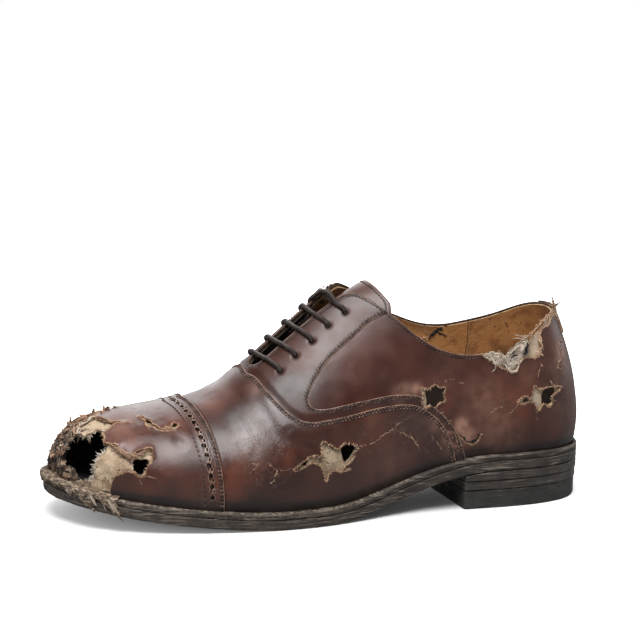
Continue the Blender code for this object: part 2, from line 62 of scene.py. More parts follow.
MM = 0.001
FAR = 60.0                      # distance given to points that are nowhere near a line, in mm
SEAM_REACH = 14.0               # greatest distance from a seam that is told apart, in mm
TEAR_REACH = 12.0               # greatest distance from a tear that is told apart, in mm
WELD = 0.02                     # how close corners are made one, in mm
TURNS = 24
TOE_TURN = 12.0
SPACING = 1.0    # widens every mesh while trying things


# ---------------------------------------------------------------- shapes in numbers

@dataclass(frozen=True)
class Noise:
    """Smooth repeatable noise through space, from -1 to 1."""

    seed: int

    def _corner(self, cell: Array) -> Array:
        """Value at whole-number cells."""
        mixed = cell[..., 0] * 374761393 + cell[..., 1] * 668265263 + cell[..., 2] * 1442695041
        mixed = mixed + self.seed * 974634777
        mixed = (mixed ^ (mixed >> 13)) * 1274126177
        mixed = mixed ^ (mixed >> 16)
        return (mixed & 0xFFFF) / 32767.5 - 1.0

    def at(self, points: Array, size: float) -> Array:
        """Noise at some points.

        Args:
            points: places in mm.
            size: width of one bump in mm.

        Returns:
            One value a point.
        """
        cell = np.asarray(points) / size
        base = np.floor(cell).astype(np.int64)
        t = cell - base
        t = t * t * (3.0 - 2.0 * t)
        total = np.zeros(t.shape[:-1])
        for step in product((0, 1), repeat=3):
            share = np.prod(np.where(np.array(step) == 1, t, 1.0 - t), axis=-1)
            total += share * self._corner(base + np.array(step))
        return total

    def layered(self, points: Array, size: float, layers: int = 3) -> Array:
        """Noise with finer and weaker layers added.

        Args:
            points: places in mm.
            size: width of the coarsest bumps in mm.
            layers: how many layers, each half the size of the last.

        Returns:
            One value a point.
        """
        shares = [0.5 ** k for k in range(layers)]
        parts = [share * self.at(np.asarray(points) + 37.0 * k, size * share)
                 for k, share in enumerate(shares)]
        return sum(parts) / sum(shares)


def ramp(value: Array, low: float, high: float) -> Array:
    """Smooth step from 0 at low to 1 at high.

    Args:
        value: what is measured.
        low: where the step starts.
        high: where it is complete.

    Returns:
        Values from 0 to 1.
    """
    t = np.clip((np.asarray(value, float) - low) / (high - low), 0.0, 1.0)
    return t * t * (3.0 - 2.0 * t)


def bell(value: Array, width: float) -> Array:
    """Bell curve of height 1 about zero."""
    return np.exp(-(np.asarray(value, float) / width) ** 2)


def unit(vectors: Array) -> Array:
    """Vectors scaled to length 1."""
    return vectors / np.maximum(np.linalg.norm(vectors, axis=-1, keepdims=True), 1e-9)


def through_points(xs: Array, ys: Array, x: Array) -> Array:
    """Cubic curve through points, with slopes from each point's neighbours.

    Args:
        xs: rising places of the points.
        ys: their heights.
        x: where the curve is wanted.

    Returns:
        The curve's heights.
    """
    slopes = np.gradient(ys, xs)
    row = np.clip(np.searchsorted(xs, x, side="right") - 1, 0, len(xs) - 2)
    span = xs[row + 1] - xs[row]
    t = np.clip((x - xs[row]) / span, 0.0, 1.0)
    return (ys[row] * (1 + 2 * t) * (1 - t) ** 2 + slopes[row] * span * t * (1 - t) ** 2
            + ys[row + 1] * t * t * (3 - 2 * t) + slopes[row + 1] * span * t * t * (t - 1))


class Side(Enum):
    """The two sides of the shoe."""

    OUTER = 1
    INNER = -1

    def turn(self, turn: Array) -> Array:
        """Turn on this side that matches a turn of the outer side."""
        return turn if self is Side.OUTER else TURNS - turn


# Rows of the last: x and y at the foot, x, y and z at the top, flare at the foot in degrees, how far
# the flare rises, lean at the top in degrees, reach of the top, slope of the ridge, welt width
SECTIONS = np.array((
    (0.0, -1.0, 26.0, -2.0, 130.0, 16, 0.30, 64, 0.28, 0.0, 1.6),
    (6.0, 21.5, 30.0, 14.0, 130.0, 14, 0.30, 68, 0.30, 0.0, 2.4),
    (33.0, 34.0, 46.0, 21.0, 130.0, 10, 0.32, 74, 0.30, 0.0, 3.0),
    (72.0, 33.5, 72.0, 21.5, 130.0, 9, 0.33, 72, 0.30, 0.0, 3.5),
    (104.0, 32.0, 101.0, 13.0, 131.0, 8, 0.36, 52, 0.34, -0.2, 4.2),
    (130.0, 38.0, 126.0, -2.5, 127.0, 8, 0.40, 12, 0.40, -0.6, 5.2),
    (155.0, 46.0, 155.0, -4.0, 106.5, 8, 0.46, 0, 0.42, -0.9, 5.6),
    (181.0, 49.8, 183.0, -4.0, 81.0, 10, 0.50, 0, 0.45, -0.8, 5.6),
    (207.0, 48.0, 208.0, -4.2, 62.5, 10, 0.60, 0, 0.50, -0.42, 5.6),
    (233.0, 45.0, 231.0, -4.6, 57.2, 10, 0.70, 0, 0.52, -0.16, 5.6),
    (261.0, 38.0, 252.0, -5.0, 54.2, 9, 0.73, 0, 0.55, -0.14, 5.4),
    (285.0, 20.5, 252.0, -5.0, 54.2, 9, 0.76, 0, 0.55, -0.14, 4.8),
    (295.5, -6.0, 252.0, -5.0, 54.2, 9, 0.76, 0, 0.55, -0.14, 4.4),
    (287.0, -30.0, 252.0, -5.0, 54.2, 9, 0.76, 0, 0.55, -0.14, 4.8),
    (262.0, -44.5, 252.0, -5.0, 54.2, 9, 0.73, 0, 0.55, -0.14, 5.2),
    (234.0, -49.0, 231.0, -4.6, 57.2, 10, 0.70, 0, 0.52, -0.16, 5.2),
    (208.0, -49.0, 208.0, -4.2, 62.5, 10, 0.60, 0, 0.50, -0.42, 5.2),
    (182.0, -42.0, 183.0, -4.0, 81.0, 10, 0.50, 0, 0.45, -0.8, 5.0),
    (156.0, -32.0, 155.0, -4.0, 106.5, 14, 0.46, 0, 0.42, -0.9, 4.2),
    (130.0, -26.0, 126.0, -5.5, 127.0, 15, 0.40, 12, 0.40, -0.6, 3.4),
    (103.0, -26.5, 101.0, -17.0, 131.0, 14, 0.36, 54, 0.34, -0.2, 3.0),
    (73.0, -30.0, 72.0, -24.0, 130.0, 11, 0.33, 74, 0.30, 0.0, 3.0),
    (33.0, -34.5, 46.0, -23.5, 130.0, 10, 0.32, 76, 0.30, 0.0, 3.0),
    (6.0, -22.5, 30.0, -17.0, 130.0, 14, 0.30, 68, 0.30, 0.0, 2.4),
))

# Top line of the collar: x, height on the outer side, height on the inner side
COLLAR = np.array((
    (10.0, 104.5, 105.0), (20.0, 101.5, 101.5), (38.0, 91.0, 94.0), (53.0, 86.0, 90.3), (68.0, 84.0, 88.4),
    (80.0, 84.5, 89.8), (92.0, 88.0, 94.0), (104.0, 95.5, 99.5), (117.0, 106.6, 108.0),
    (126.0, 113.0, 113.5), (134.0, 117.0, 117.0), (141.0, 119.0, 119.0), (150.0, 122.5, 122.5),
))


@dataclass(frozen=True)
class Last:
    """The form the shoe was made on, with its sole line, collar line and throat."""

    seat_height: float = 20.3       # underside of the outsole over the heel
    arch_start: float = 58.0
    arch_length: float = 100.0
    spring_start: float = 188.0
    spring_length: float = 112.0
    toe_spring: float = 13.7
    spring_power: float = 1.4
    feather_height: float = 9.0     # foot of the upper over the sole's underside
    throat_x: float = 187.5
    throat_half_width: float = 5.5
    throat_round: float = 5.0
    throat_rear_x: float = 100.0
    throat_corner: float = 7.0      # radius of a facing's top corner
    throat_y: float = 0.9

    def floor_line(self, x: Array) -> Array:
        """Height of the outsole's underside at x."""
        x = np.asarray(x, float)
        drop = np.clip((x - self.arch_start) / self.arch_length, 0.0, 1.0)
        spring = np.clip((x - self.spring_start) / self.spring_length, 0.0, 2.0)
        return (self.seat_height * (1.0 - drop * drop * (3.0 - 2.0 * drop))
                + self.toe_spring * spring ** self.spring_power)

    def section_at(self, turn: Array) -> Array:
        """The table's columns at any turn, blended with a closed cubic B-spline."""
        turn = np.asarray(turn, float) % TURNS
        row = np.floor(turn).astype(int)
        t = (turn - row)[..., None]
        shares = ((1 - t) ** 3 / 6, (3 * t ** 3 - 6 * t ** 2 + 4) / 6,
                  (-3 * t ** 3 + 3 * t ** 2 + 3 * t + 1) / 6, t ** 3 / 6)
        return sum(share * SECTIONS[(row + k - 1) % TURNS] for k, share in enumerate(shares))

    def point(self, turn: Array, climb: Array) -> Array:
        """Points of the last's own surface.

        Args:
            turn: how far round, 0 to 24.
            climb: how far up, 0 to 1.

        Returns:
            Places in mm.
        """
        turn, climb = np.broadcast_arrays(np.asarray(turn, float), np.asarray(climb, float))
        columns = np.moveaxis(self.section_at(turn), -1, 0)
        x, y, top_x, top_y, top_z, flare, rise, lean, reach, slope, _ = columns
        foot_z = self.floor_line(x) + self.feather_height
        height = top_z - foot_z
        run = np.hypot(top_x - x, top_y - y)
        in_x, in_y = (top_x - x) / run, (top_y - y) / run
        flare, lean = np.radians(flare), np.radians(lean)
        foot = np.stack([x, y, foot_z], -1)
        top = np.stack([top_x, top_y, top_z], -1)
        out_up = np.stack([-in_x * np.sin(flare), -in_y * np.sin(flare), np.cos(flare)], -1)
        over = np.stack([in_x * np.cos(lean), in_y * np.cos(lean),
                         np.sin(lean) + in_x * slope * np.cos(lean)], -1)
        low = foot + out_up * (rise * height)[..., None]
        high = top - over * (reach * (run * np.cos(lean) + height * np.sin(lean)))[..., None]
        t = climb[..., None]
        return foot * (1 - t) ** 3 + 3 * low * t * (1 - t) ** 2 + 3 * high * t * t * (1 - t) + top * t ** 3

    def normal(self, turn: Array, climb: Array) -> Array:
        """Outward directions, drawn to the ridge's own direction where both sides meet."""
        turn, climb = np.broadcast_arrays(np.asarray(turn, float), np.asarray(climb, float))
        near = np.minimum(climb, 0.97)
        along = self.point(turn + 0.01, near) - self.point(turn - 0.01, near)
        upward = self.point(turn, near + 0.01) - self.point(turn, near - 0.01)
        normal = unit(np.cross(upward, along))
        columns = self.section_at(turn)
        slope, lean = columns[..., 9], columns[..., 7]
        ridge = unit(np.stack([-slope, 0 * slope, 1 + 0 * slope], -1))
        t = np.clip((climb - 0.94) / 0.06, 0.0, 1.0) * np.clip(1.0 - lean / 20.0, 0.0, 1.0)
        return unit(normal * (1 - t[..., None]) + ridge * t[..., None])

    def surface(self, turn: Array, climb: Array, out: Array = 0.0) -> Array:
        """Points that lie out from the last by a distance in mm."""
        return self.point(turn, climb) + self.normal(turn, climb) * np.asarray(out, float)[..., None]

    def outline(self, turn: Array, out: Array = 0.0) -> Array:
        """Plan outline of the foot line, moved outward by a distance in mm."""
        here = self.section_at(turn)
        step = unit(self.section_at(np.asarray(turn) + 0.01)[..., :2]
                    - self.section_at(np.asarray(turn) - 0.01)[..., :2])
        outward = np.stack([-step[..., 1], step[..., 0]], -1)
        return here[..., :2] + outward * np.asarray(out, float)[..., None]

    def welt_width(self, turn: Array) -> Array:
        """How far the sole stands out past the foot line."""
        return self.section_at(turn)[..., 10]

    def room(self, place: Array, outer: Array) -> Array:
        """How far a point lies inside the top line: below the collar and off the throat.

        Args:
            place: points of the last in mm.
            outer: whether each is on the outer side.

        Returns:
            Distances in mm, positive on the leather.
        """
        x = np.clip(place[:, 0], COLLAR[0, 0], COLLAR[-1, 0])
        height = np.where(outer, through_points(COLLAR[:, 0], COLLAR[:, 1], x),
                          through_points(COLLAR[:, 0], COLLAR[:, 2], x))
        below = np.where(place[:, 0] < COLLAR[-1, 0], height - place[:, 2], FAR)
        depth = np.clip((self.throat_x - place[:, 0]) / self.throat_round, 0.0, 1.0)
        half = self.throat_half_width * np.sqrt(1.0 - (1.0 - depth) ** 2)
        beside = np.abs(place[:, 1] - self.throat_y) - half
        past = np.hypot(np.maximum(place[:, 0] - self.throat_x, 0.0), place[:, 1] - self.throat_y)
        beside = np.where(place[:, 0] > self.throat_x, past + 0.5, beside)
        size = self.throat_corner
        corner = size - np.hypot(np.maximum(size - below, 0.0), np.maximum(size - beside, 0.0))
        return np.where(place[:, 0] > self.throat_rear_x, np.minimum(np.minimum(below, beside), corner),
                        below)


LAST = Last()


def frame_origin() -> Array:
    """Place of the frame's origin on the last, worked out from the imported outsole's box."""
    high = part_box("outsole")[1]
    turns = np.linspace(0.0, TURNS, 2401)
    rim = LAST.outline(turns, LAST.welt_width(turns))
    return np.array([rim[:, 0].max() - high[0] / MM, rim[:, 1].max() - high[1] / MM, 0.0])


ORIGIN = frame_origin()


# ---------------------------------------------------------------- lines, areas and patches on the last

def tree_of(points: Array) -> kdtree.KDTree:
    """Search tree of some places."""
    tree = kdtree.KDTree(len(points))
    for index, place in enumerate(points):
        tree.insert(place, index)
    tree.balance()
    return tree


def nearest(points: Array, path: Array, reach: float) -> Array:
    """Distance from each point to a closely traced path.

    Args:
        points: places in mm.
        path: the path's places in mm.
        reach: distance past which the path isn't looked for.

    Returns:
        Distances in mm, no more than reach.
    """
    distance = np.full(len(points), float(reach))
    close = np.all((points > path.min(axis=0) - reach) & (points < path.max(axis=0) + reach), axis=1)
    tree = tree_of(path)
    rows = np.nonzero(close)[0]
    distance[rows] = [tree.find(place)[2] for place in points[rows]]
    return np.minimum(distance, reach)


def inside(turn: Array, climb: Array, loop: Array) -> Array:
    """Which places lie within a closed loop.

    Args:
        turn: how far round each place is.
        climb: how far up each place is.
        loop: the loop's (turn, climb) points.

    Returns:
        True for each place within.
    """
    found = np.zeros(len(turn), bool)
    near = np.nonzero((turn > loop[:, 0].min()) & (turn < loop[:, 0].max())
                      & (climb > loop[:, 1].min()) & (climb < loop[:, 1].max()))[0]
    t, c = turn[near], climb[near]
    crossed = np.zeros(len(near), bool)
    for (t0, c0), (t1, c1) in zip(loop, np.roll(loop, -1, axis=0)):
        if c0 != c1:
            crossed ^= ((c0 > c) != (c1 > c)) & (t < t0 + (c - c0) / (c1 - c0) * (t1 - t0))
    found[near] = crossed
    return found


def travelled(path: Array) -> Array:
    """Distance along a traced path at each of its places, in mm."""
    return np.concatenate([[0.0], np.cumsum(np.linalg.norm(np.diff(path, axis=0), axis=1))])


def evenly(path: Array, spacing: float, start: float = 0.0) -> Array:
    """Fractional rows of a traced path that lie evenly apart.

    Args:
        path: the path's places in mm.
        spacing: distance between two rows in mm.
        start: distance along the path to the first.

    Returns:
        Fractional row numbers.
    """
    run = travelled(path)
    return np.interp(np.arange(start, run[-1], spacing), run, np.arange(len(path)))


def at_rows(path: Array, rows: Array) -> Array:
    """Values of a traced path at fractional rows."""
    return np.column_stack([np.interp(rows, np.arange(len(path)), column) for column in path.T])


def curve_through(knots: Array, per_span: int, closed: bool = False) -> Array:
    """Smooth curve through some points.

    Args:
        knots: the points.
        per_span: steps from one to the next.
        closed: whether the last point joins the first.

    Returns:
        Closely spaced points.
    """
    if closed:
        ends = np.concatenate([knots[-1:], knots, knots[:2]])
    else:
        ends = np.concatenate([2 * knots[:1] - knots[1:2], knots, 2 * knots[-1:] - knots[-2:-1]])
    t = np.linspace(0.0, 1.0, per_span, endpoint=False)[:, None]
    spans = [0.5 * (2 * b + (c - a) * t + (2 * a - 5 * b + 4 * c - d) * t ** 2
                    + (3 * b - a - 3 * c + d) * t ** 3)
             for a, b, c, d in zip(ends, ends[1:], ends[2:], ends[3:])]
    return np.concatenate(spans + ([] if closed else [knots[-1:]]))


@dataclass(frozen=True)
class Line:
    """Smooth line drawn on the last through (turn, climb) points."""

    points: tuple
    closed: bool = False

    def traced(self, per_span: int = 24) -> Array:
        """Closely spaced (turn, climb) pairs along the line."""
        return curve_through(np.array(self.points, float), per_span, self.closed)

    def spaced(self, spacing: float, side: Side = Side.OUTER, start: float = 0.0) -> Array:
        """(turn, climb) pairs that lie evenly apart on the last.

        Args:
            spacing: distance in mm.
            side: side of the shoe that the line is drawn on.
            start: distance to the first pair in mm.

        Returns:
            The pairs, with the side's own turns.
        """
        pairs = self.traced()
        pairs = np.stack([side.turn(pairs[:, 0]), pairs[:, 1]], -1)
        return at_rows(pairs, evenly(LAST.point(pairs[:, 0], pairs[:, 1]), spacing, start))


@dataclass(frozen=True)
class Area:
    """Part of the last on one side of a line, which is closed by corners off the leather."""

    edge: Line
    corners: tuple = ()

    def depth(self, patch: "Patch", reach: float = SEAM_REACH, both_sides: bool = False) -> Array:
        """How deep each corner of a patch lies in the area.

        Args:
            patch: the patch that is measured.
            reach: greatest depth that is told apart, in mm.
            both_sides: whether the inner side has the same area mirrored.

        Returns:
            Depths in mm, negative outside.
        """
        loop = self.edge.traced()
        if self.corners:
            loop = np.concatenate([loop, np.array(self.corners, float)])
        turn = patch.folded if both_sides else patch.turn
        distance = np.full(len(turn), reach)
        for side in (Side.OUTER, Side.INNER) if both_sides else (Side.OUTER,):
            pairs = self.edge.spaced(0.15, side)
            rows = (patch.outer == (side is Side.OUTER)) if both_sides else np.ones(len(turn), bool)
            if rows.any():
                distance[rows] = nearest(patch.place[rows], LAST.point(pairs[:, 0], pairs[:, 1]), reach)
        return np.where(inside(turn, patch.climb, loop), distance, -distance)


def weld(points: Array, faces: Array) -> tuple[Array, Array]:
    """Weld corners that lie together, and drop the faces that this empties.

    Args:
        points: corners in mm.
        faces: triangles.

    Returns:
        The rows of the corners that stay, and the triangles.
    """
    keys = np.round(points / WELD + 0.317).astype(np.int64)
    _, first, group = np.unique(keys, axis=0, return_index=True, return_inverse=True)
    faces = group.ravel()[faces]
    a, b, c = faces.T
    return first, faces[(a != b) & (b != c) & (c != a)]


def quads(*corners: Array) -> Array:
    """Two triangles for each four-sided face, from the faces' first to fourth corners."""
    a, b, c, d = (corner.ravel() for corner in corners)
    return np.concatenate([np.stack([a, b, c], -1), np.stack([a, c, d], -1)])


@dataclass
class Patch:
    """Triangles laid over the last, with marks at their corners for shape and finish."""

    turn: Array
    climb: Array
    faces: Array
    place: Array
    marks: dict = field(default_factory=dict)

    @classmethod
    def lattice(cls, turns: Array, climbs: Array) -> "Patch":
        """Grid over the last.

        Args:
            turns: the grid's turns, rising.
            climbs: the grid's climbs, rising.

        Returns:
            The patch.
        """
        turn, climb = (grid.ravel() for grid in np.meshgrid(turns, climbs, indexing="ij"))
        rows, columns = len(turns), len(climbs)
        corner = (np.arange(rows - 1)[:, None] * columns + np.arange(columns - 1)[None]).ravel()
        a, b, c, d = corner, corner + 1, corner + columns + 1, corner + columns
        flip = ((corner // columns + corner % columns) % 2 == 0)[:, None]
        first = np.where(flip, np.stack([a, b, c], -1), np.stack([a, b, d], -1))
        second = np.where(flip, np.stack([a, c, d], -1), np.stack([b, c, d], -1))
        return cls(turn, climb, np.concatenate([first, second]), LAST.point(turn, climb))

    @classmethod
    def covering(cls, start: float, stop: float, spacing: float, low: float = 0.0,
                 high: float = 1.0, fine: Sequence[tuple[float, float, float]] = ()) -> "Patch":
        """Grid of a wanted fineness over a stretch of the last.

        Args:
            start: first turn.
            stop: last turn.
            spacing: wanted distance between corners in mm.
            low: lowest climb.
            high: highest climb.
            fine: stretches (from turn, to turn, spacing) whose columns lie closer.

        Returns:
            The patch.
        """
        turns = [start]
        while turns[-1] < stop:
            here = turns[-1]
            gap = min([spacing] + [size for first, last, size in fine if first <= here < last])
            pace = np.linalg.norm(LAST.point(here + 0.01, 0.3) - LAST.point(here, 0.3)) / 0.01
            turns.append(here + gap * SPACING / pace)
        turns[-1] = stop
        middle = LAST.point((start + stop) / 2 if abs(start + stop) > 1 else 2.0,
                            np.linspace(low, high, 200))
        length = np.linalg.norm(np.diff(middle, axis=0), axis=1).sum()
        rows = int(length / (spacing * SPACING)) + 2
        return cls.lattice(np.array(turns), np.linspace(low, high, rows))

    @property
    def folded(self) -> Array:
        """Turns with the inner side laid over the outer one."""
        turn = self.turn % TURNS
        return np.where(turn > TOE_TURN, TURNS - turn, turn)

    @property
    def outer(self) -> Array:
        """Which corners are on the outer side."""
        return self.turn % TURNS <= TOE_TURN

    def joined(self, other: "Patch") -> "Patch":
        """This patch and another as one, welded where they meet."""
        both = Patch(np.concatenate([self.turn, other.turn]), np.concatenate([self.climb, other.climb]),
                     np.concatenate([self.faces, other.faces + len(self.turn)]),
                     np.concatenate([self.place, other.place]))
        return both.welded()

    def welded(self) -> "Patch":
        """The patch with corners at one place made one corner."""
        first, faces = weld(self.place, self.faces)
        return Patch(self.turn[first], self.climb[first], faces, self.place[first],
                     {name: values[first] for name, values in self.marks.items()})

    def clipped(self, depth: Array) -> "Patch":
        """The part of the patch where a depth is positive, cut cleanly along its zero line.

        Args:
            depth: one value a corner.

        Returns:
            A new patch.
        """
        keep = depth > 0
        count = keep[self.faces].sum(axis=1)
        mixed = self.faces[(count == 1) | (count == 2)]
        lone_kept = keep[mixed].sum(axis=1) == 1
        lone = np.argmax(keep[mixed] == lone_kept[:, None], axis=1)
        rows = np.arange(len(mixed))
        a, b, c = (mixed[rows, (lone + k) % 3] for k in range(3))
        total = len(self.turn)
        edges = np.concatenate([np.stack([a, b], -1), np.stack([a, c], -1)])
        ends = np.sort(edges, axis=1)
        keys, group = np.unique(ends[:, 0] * total + ends[:, 1], return_inverse=True)
        first, second = keys // total, keys % total
        share = np.clip(depth[first] / (depth[first] - depth[second]), 0.04, 0.96)

        def extended(values: Array) -> Array:
            """Corner values with those of the new corners added."""
            t = share if values.ndim == 1 else share[:, None]
            return np.concatenate([values, values[first] * (1 - t) + values[second] * t])

        group = group.ravel() + total
        ab, ac = group[:len(a)], group[len(a):]
        one, two = lone_kept, ~lone_kept
        faces = np.concatenate([
            self.faces[count == 3], np.stack([a, ab, ac], -1)[one],
            np.stack([ab, b, c], -1)[two], np.stack([ab, c, ac], -1)[two]])
        used, faces = np.unique(faces, return_inverse=True)
        return Patch(extended(self.turn)[used], extended(self.climb)[used], faces.reshape(-1, 3),
                     extended(self.place)[used],
                     {name: extended(values)[used] for name, values in self.marks.items()})

    def marked(self, **marks: Array) -> "Patch":
        """The patch with more marks."""
        self.marks.update(marks)
        return self


# ---------------------------------------------------------------- making pieces

class Layer(Enum):
    """Places in a sheet's list of materials."""

    FACE = 0
    RAW = 1
    BACK = 2


def turned_out(points: Array, faces: Array) -> Array:
    """Faces of closed solids, turned so that they look out.

    Args:
        points: corners in mm.
        faces: triangles, all turned one way.

    Returns:
        The triangles.
    """
    a, b, c = (points - points[0])[faces].transpose(1, 0, 2)
    return faces if np.sum(a * np.cross(b, c)) >= 0.0 else faces[:, ::-1]


def make_piece(name: str, points: Array, faces: Array, materials: Sequence[bpy.types.Material],
               layers: Array | None = None, marks: dict | None = None, crease: float = 50.0,
               replaces: Sequence[str] = ()) -> bpy.types.Object:
    """Make one piece of the shoe and let it ride on the frame.

    Args:
        name: the piece's name.
        points: its corners in mm on the last.
        faces: its triangles.
        materials: its materials.
        layers: the material of each face.
        marks: named values at the corners.
        crease: angle in degrees past which an edge is sharp.
        replaces: CAD nodes that the piece stands for.

    Returns:
        The object.
    """
    mesh = bpy.data.meshes.new(name)
    mesh.from_pydata(((points - ORIGIN) * MM).tolist(), [], turned_out(points, faces).tolist())
    for material in materials:
        mesh.materials.append(material)
    if layers is not None:
        mesh.polygons.foreach_set("material_index", layers.astype(np.int32))
    for label, values in (marks or {}).items():
        mesh.attributes.new(label, "FLOAT", "POINT").data.foreach_set("value", values.astype(np.float32))
    mesh.shade_smooth()
    mesh.set_sharp_from_angle(angle=math.radians(crease))
    piece = bpy.data.objects.new(name, mesh)
    bpy.context.scene.collection.objects.link(piece)
    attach(piece, "root")
    if replaces:
        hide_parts(*replaces)
    log.info("%s: %d faces", name, len(mesh.polygons))
    return piece


def open_edges(faces: Array, count: int) -> Array:
    """Directed edges that belong to one face only.

    Args:
        faces: triangles.
        count: how many corners there are.

    Returns:
        Pairs of corners.
    """
    edges = np.concatenate([faces[:, [0, 1]], faces[:, [1, 2]], faces[:, [2, 0]]])
    keys = edges[:, 0] * count + edges[:, 1]
    return edges[~np.isin(keys, edges[:, 1] * count + edges[:, 0])]


def shell(faces: Array, count: int) -> tuple[Array, Array, Array]:
    """Close a sheet with its back and its rim.

    Args:
        faces: the sheet's triangles.
        count: how many corners it has; those of its back follow them.

    Returns:
        All triangles, the material of each and the directed edges of the rim.
    """
    edges = open_edges(faces, count)
    a, b = edges.T
    closed = np.concatenate([faces, faces[:, ::-1] + count, np.stack([b, a, a + count], -1),
                             np.stack([b, a + count, b + count], -1)])
    layers = np.full(len(closed), Layer.FACE.value)
    layers[len(faces):] = Layer.BACK.value
    layers[2 * len(faces):] = Layer.RAW.value
    return closed, layers, edges


def make_sheet(name: str, patch: Patch, top: Array, thickness: Array,
               materials: Sequence[bpy.types.Material], raw_width: float = 0.0,
               replaces: Sequence[str] = ()) -> bpy.types.Object:
    """Make a sheet of leather or lining over a patch, as a closed solid.

    Args:
        name: the piece's name.
        patch: where the sheet lies; its marks "tear" and others go with it.
        top: how far out its outer face lies, in mm.
        thickness: its thickness in mm.
        materials: the finish, the raw edge and the back.
        raw_width: how far the raw colour comes in from a torn edge, in mm.
        replaces: CAD nodes that the sheet stands for.

    Returns:
        The object.
    """
    count = len(patch.turn)
    normals = LAST.normal(patch.turn, patch.climb)
    top = np.broadcast_to(np.asarray(top, float), (count,))
    outer = LAST.point(patch.turn, patch.climb) + normals * top[:, None]
    inner = outer - normals * np.broadcast_to(np.asarray(thickness, float), (count,))[:, None]
    faces, layers, edges = shell(patch.faces, count)
    if raw_width > 0 and "tear" in patch.marks:
        frayed = raw_width * (1.0 + 0.8 * Noise(71).layered(patch.place, 2.2))
        torn = (patch.marks["tear"] < frayed)[patch.faces].sum(axis=1) >= 2
        layers[:len(patch.faces)][torn] = Layer.RAW.value
    on_rim = np.zeros(count)
    on_rim[edges.ravel()] = 1.0
    marks = {label: np.tile(values, 2) for label, values in patch.marks.items()}
    marks["rim"] = np.tile(on_rim, 2)
    return make_piece(name, np.concatenate([outer, inner]), faces, materials, layers, marks,
                      replaces=replaces)


def tube(path: Array, wide: Array, thin: Array, up: Array, sides: int = 8) -> tuple[Array, Array]:
    """Closed tube along a path, with an oval section.

    Args:
        path: the path's places in mm.
        wide: half widths across, one a place.
        thin: half thicknesses, one a place.
        up: direction of the thickness, one for all or one a place.
        sides: how many corners go round.

    Returns:
        Corners and triangles.
    """
    along = unit(np.gradient(path, axis=0))
    up = np.broadcast_to(up, path.shape)
    across = unit(np.cross(along, up))
    up = np.cross(across, along)
    angle = np.linspace(0.0, 2 * np.pi, sides, endpoint=False)
    ring = (across[:, None] * (np.cos(angle)[None, :, None] * np.asarray(wide)[:, None, None])
            + up[:, None] * (np.sin(angle)[None, :, None] * np.asarray(thin)[:, None, None]))
    count = len(path)
    points = np.concatenate([(path[:, None] + ring).reshape(-1, 3), path[:1], path[-1:]])
    row = np.arange(count - 1)[:, None] * sides
    k = np.arange(sides)[None]
    a, b = (row + k).ravel(), (row + (k + 1) % sides).ravel()
    k = k.ravel()
    last = (count - 1) * sides
    faces = np.concatenate([
        quads(a, b, b + sides, a + sides),
        np.stack([(k + 1) % sides, k, np.full(sides, count * sides)], -1),
        np.stack([last + k, last + (k + 1) % sides, np.full(sides, count * sides + 1)], -1)])
    return points, faces


class Bundle:
    """Many small solids gathered into one piece."""

    def __init__(self) -> None:
        """Start with nothing."""
        self.points: list[Array] = []
        self.faces: list[Array] = []
        self.shades: list[Array] = []
        self.count = 0

    def add(self, points: Array, faces: Array, shade: float = 0.0) -> None:
        """Add one solid.

        Args:
            points: its corners in mm.
            faces: its triangles.
            shade: value of the mark "shade" over it.
        """
        self.points.append(points)
        self.faces.append(faces + self.count)
        self.shades.append(np.full(len(points), shade))
        self.count += len(points)

    def make(self, name: str, material: bpy.types.Material, slot: str,
             replaces: Sequence[str] = ()) -> bpy.types.Object:
        """Make the piece.

        Args:
            name: its name.
            material: its material.
            slot: not used.
            replaces: CAD nodes that it stands for.

        Returns:
            The object.
        """
        return make_piece(name, np.concatenate(self.points), np.concatenate(self.faces), [material],
                          marks={"shade": np.concatenate(self.shades)}, replaces=replaces)


# ---------------------------------------------------------------- finishes

Triple = tuple[float, float, float]
Colour = Triple


